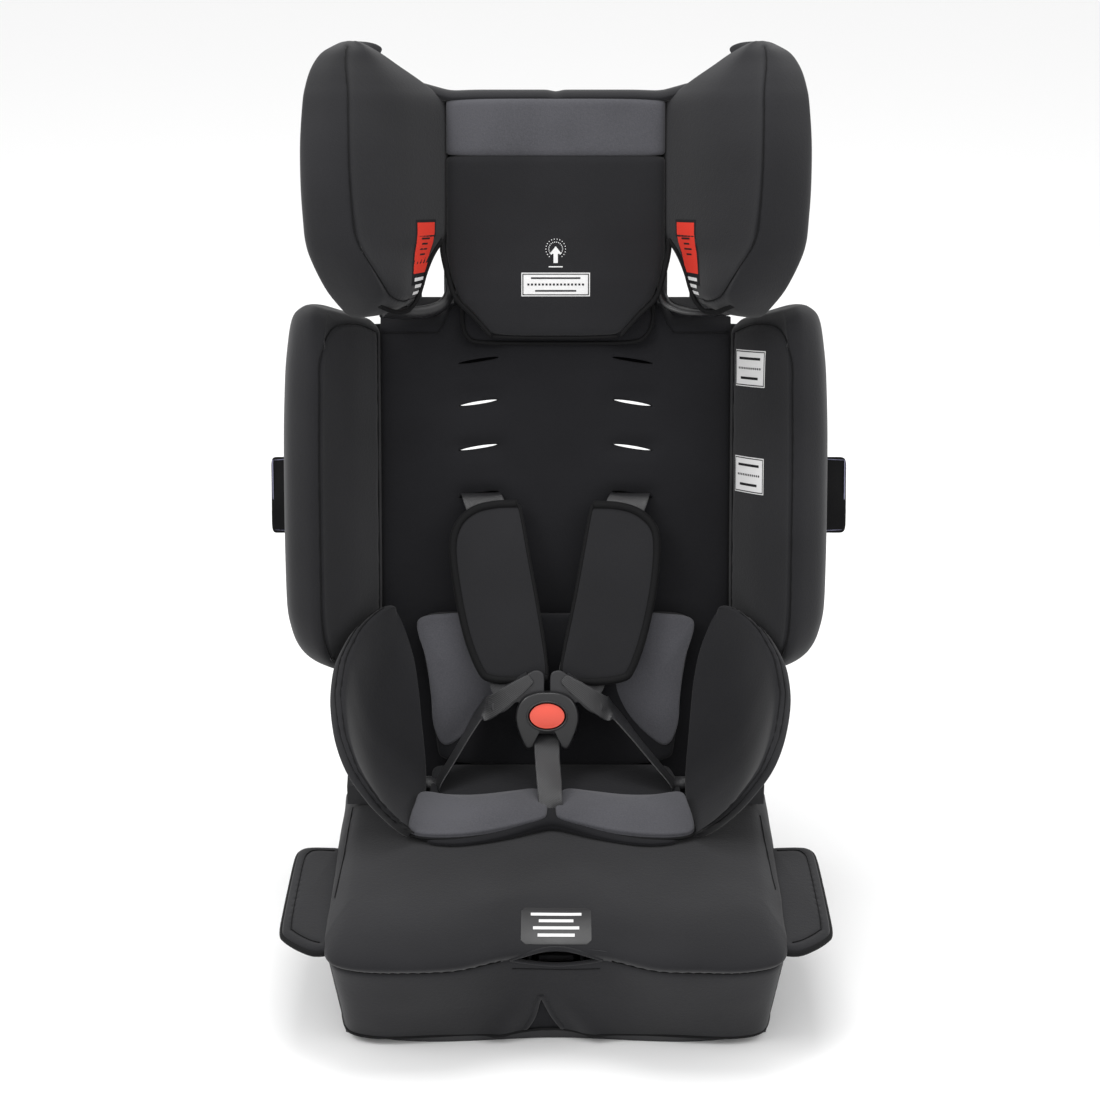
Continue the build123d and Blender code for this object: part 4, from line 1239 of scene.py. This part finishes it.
def make_labels(cover):
    names = bpy.data.objects
    front = names["headrest_front_panel"]
    across = Vector((1, 0, 0))
    lined_label("headrest_label", front, on_back(0, 470, 26), across, UP_BACK, 64, 22, "headrest",
        "tag_fabric")
    arrow = [[(-2, 0), (2, 0), (2, 9), (-2, 9)], [(-5.5, 8.5), (5.5, 8.5), (0, 15.5), (0, 15.5)],
        bar(0, -3.5, 13, 1.0)]
    for k in range(18):
        turn = math.radians(-50 + 280 * k / 17)
        for reach in (6.4, 9.2):
            arrow.append(bar(reach * math.cos(turn), 13 + reach * math.sin(turn), 0.8, 0.8))
    patch("headrest_arrow", front, on_back(0, 490, 27), across, UP_BACK, arrow, WHITE, "headrest",
        "tag_fabric", 0.3)
    for name, side in SIDES:
        pod = names[f"{name}_headrest_wing_cover"]
        way = (on_back(side * 140, 500, 70) - on_back(side * 112, 500, 31)) * side
        up = on_back(-side * 0.2, 1, 0) - on_back(0, 0, 0)
        at = on_back(side * 127, 494, 50)
        patch(f"{name}_pod_label", pod, at, way, up, [bar(0, 0, 35, 74)], INK, "headrest", "tag_fabric",
            0.3)
        patch(f"{name}_pod_label_red", pod, at, way, up, [bar(0, 11, 30, 47)], LABEL_RED, "headrest",
            "tag_fabric", 0.5)
        marks = [bar(0, 20 - 5 * k, 14 - (k % 2) * 4, 1.6) for k in range(4)]
        patch(f"{name}_pod_label_marks", pod, at, way, up, marks, INK, "headrest", "tag_fabric", 0.7)
        white = [bar(0, -18, 24, 3.2), bar(0, -24.5, 18, 3.2), bar(0, -31, 21, 3.2)]
        patch(f"{name}_pod_label_bars", pod, at, way, up, white, WHITE, "headrest", "tag_fabric", 0.7)
    wing = names["left_wing_cover"]
    way = on_back(195, 0, 50) - on_back(167, 0, 0)
    for k, s in enumerate((392, 292)):
        lined_label(f"wing_label_{k + 1}", wing, on_back(183, s, 31), way, UP_BACK, 52, 34, "seat",
            "tag_fabric")
    at = Vector((0, -193, 113))
    up = Vector((0, 1, 0.5))
    patch("seat_label", cover, at, across, up, clipped(61, 42, 4), GLOSS, "seat", "tag_fabric", 0.35)
    bars = [bar(0, 12.5, 44, 3.4), bar(0, 4.6, 30, 3.4), bar(0, -3.6, 40, 3.4), bar(0, -11.6, 32, 3.4)]
    patch("seat_label_bars", cover, at, across, up, bars, WHITE, "seat", "tag_fabric", 0.6)


# ---------------------------------------------------------------- carried-over nodes
def dress_cad_nodes():
    for part in frame["record"]["subparts"]:
        made = bpy.data.objects.get(part["node"])
        if made and made.type == "MESH":
            finish = SLOT_FINISH[part["material_slot"]]
            made.data.materials.clear()
            made.data.materials.append(finish)


# ---------------------------------------------------------------- room
def make_room():
    verts = [Vector((x, y, 0)) for x in (-9, 9) for y in (-7, 9)]
    mesh = bpy.data.meshes.new("floor")
    mesh.from_pydata([verts[0], verts[2], verts[3], verts[1]], [], [(0, 1, 2, 3)])
    floor = bpy.data.objects.new("floor", mesh)
    bpy.context.scene.collection.objects.link(floor)
    mat, _, shader = new_material("pale_floor")
    shader.inputs["Base Color"].default_value = (0.9, 0.9, 0.9, 1)
    shader.inputs["Roughness"].default_value = 0.9
    mesh.materials.append(mat)
    world = bpy.data.worlds.new("studio")
    world.use_nodes = True
    world.node_tree.nodes["Background"].inputs["Color"].default_value = (1, 1, 1, 1)
    world.node_tree.nodes["Background"].inputs["Strength"].default_value = 1.0
    bpy.context.scene.world = world
    lamps = (
        ("key", (-1.9, -1.2, 2.4), 1.2, 30), ("fill", (2.0, -1.2, 1.8), 1.4, 12),
        ("top", (0, 0.3, 2.6), 1.2, 26),
    )
    for name, at, size, power in lamps:
        lamp = bpy.data.lights.new(name, "AREA")
        lamp.shape = "SQUARE"
        lamp.size = size
        lamp.energy = power
        made = bpy.data.objects.new(name, lamp)
        made.location = at
        aim = Vector((0, 0, 0.38)) - Vector(at)
        made.rotation_euler = aim.to_track_quat("-Z", "Y").to_euler()
        bpy.context.scene.collection.objects.link(made)
    bpy.context.scene.view_settings.view_transform = "Standard"


place_camera()
dress_cad_nodes()
make_wing_pads()
make_back_cover()
make_headrest_pods()
make_headrest_centre()
make_apron()
seat_cover = make_base_cover()
make_side_flaps()
make_insert()
make_bolsters()
make_shoulder_pads()
make_straps()
make_buckle()
make_labels(seat_cover)
make_room()
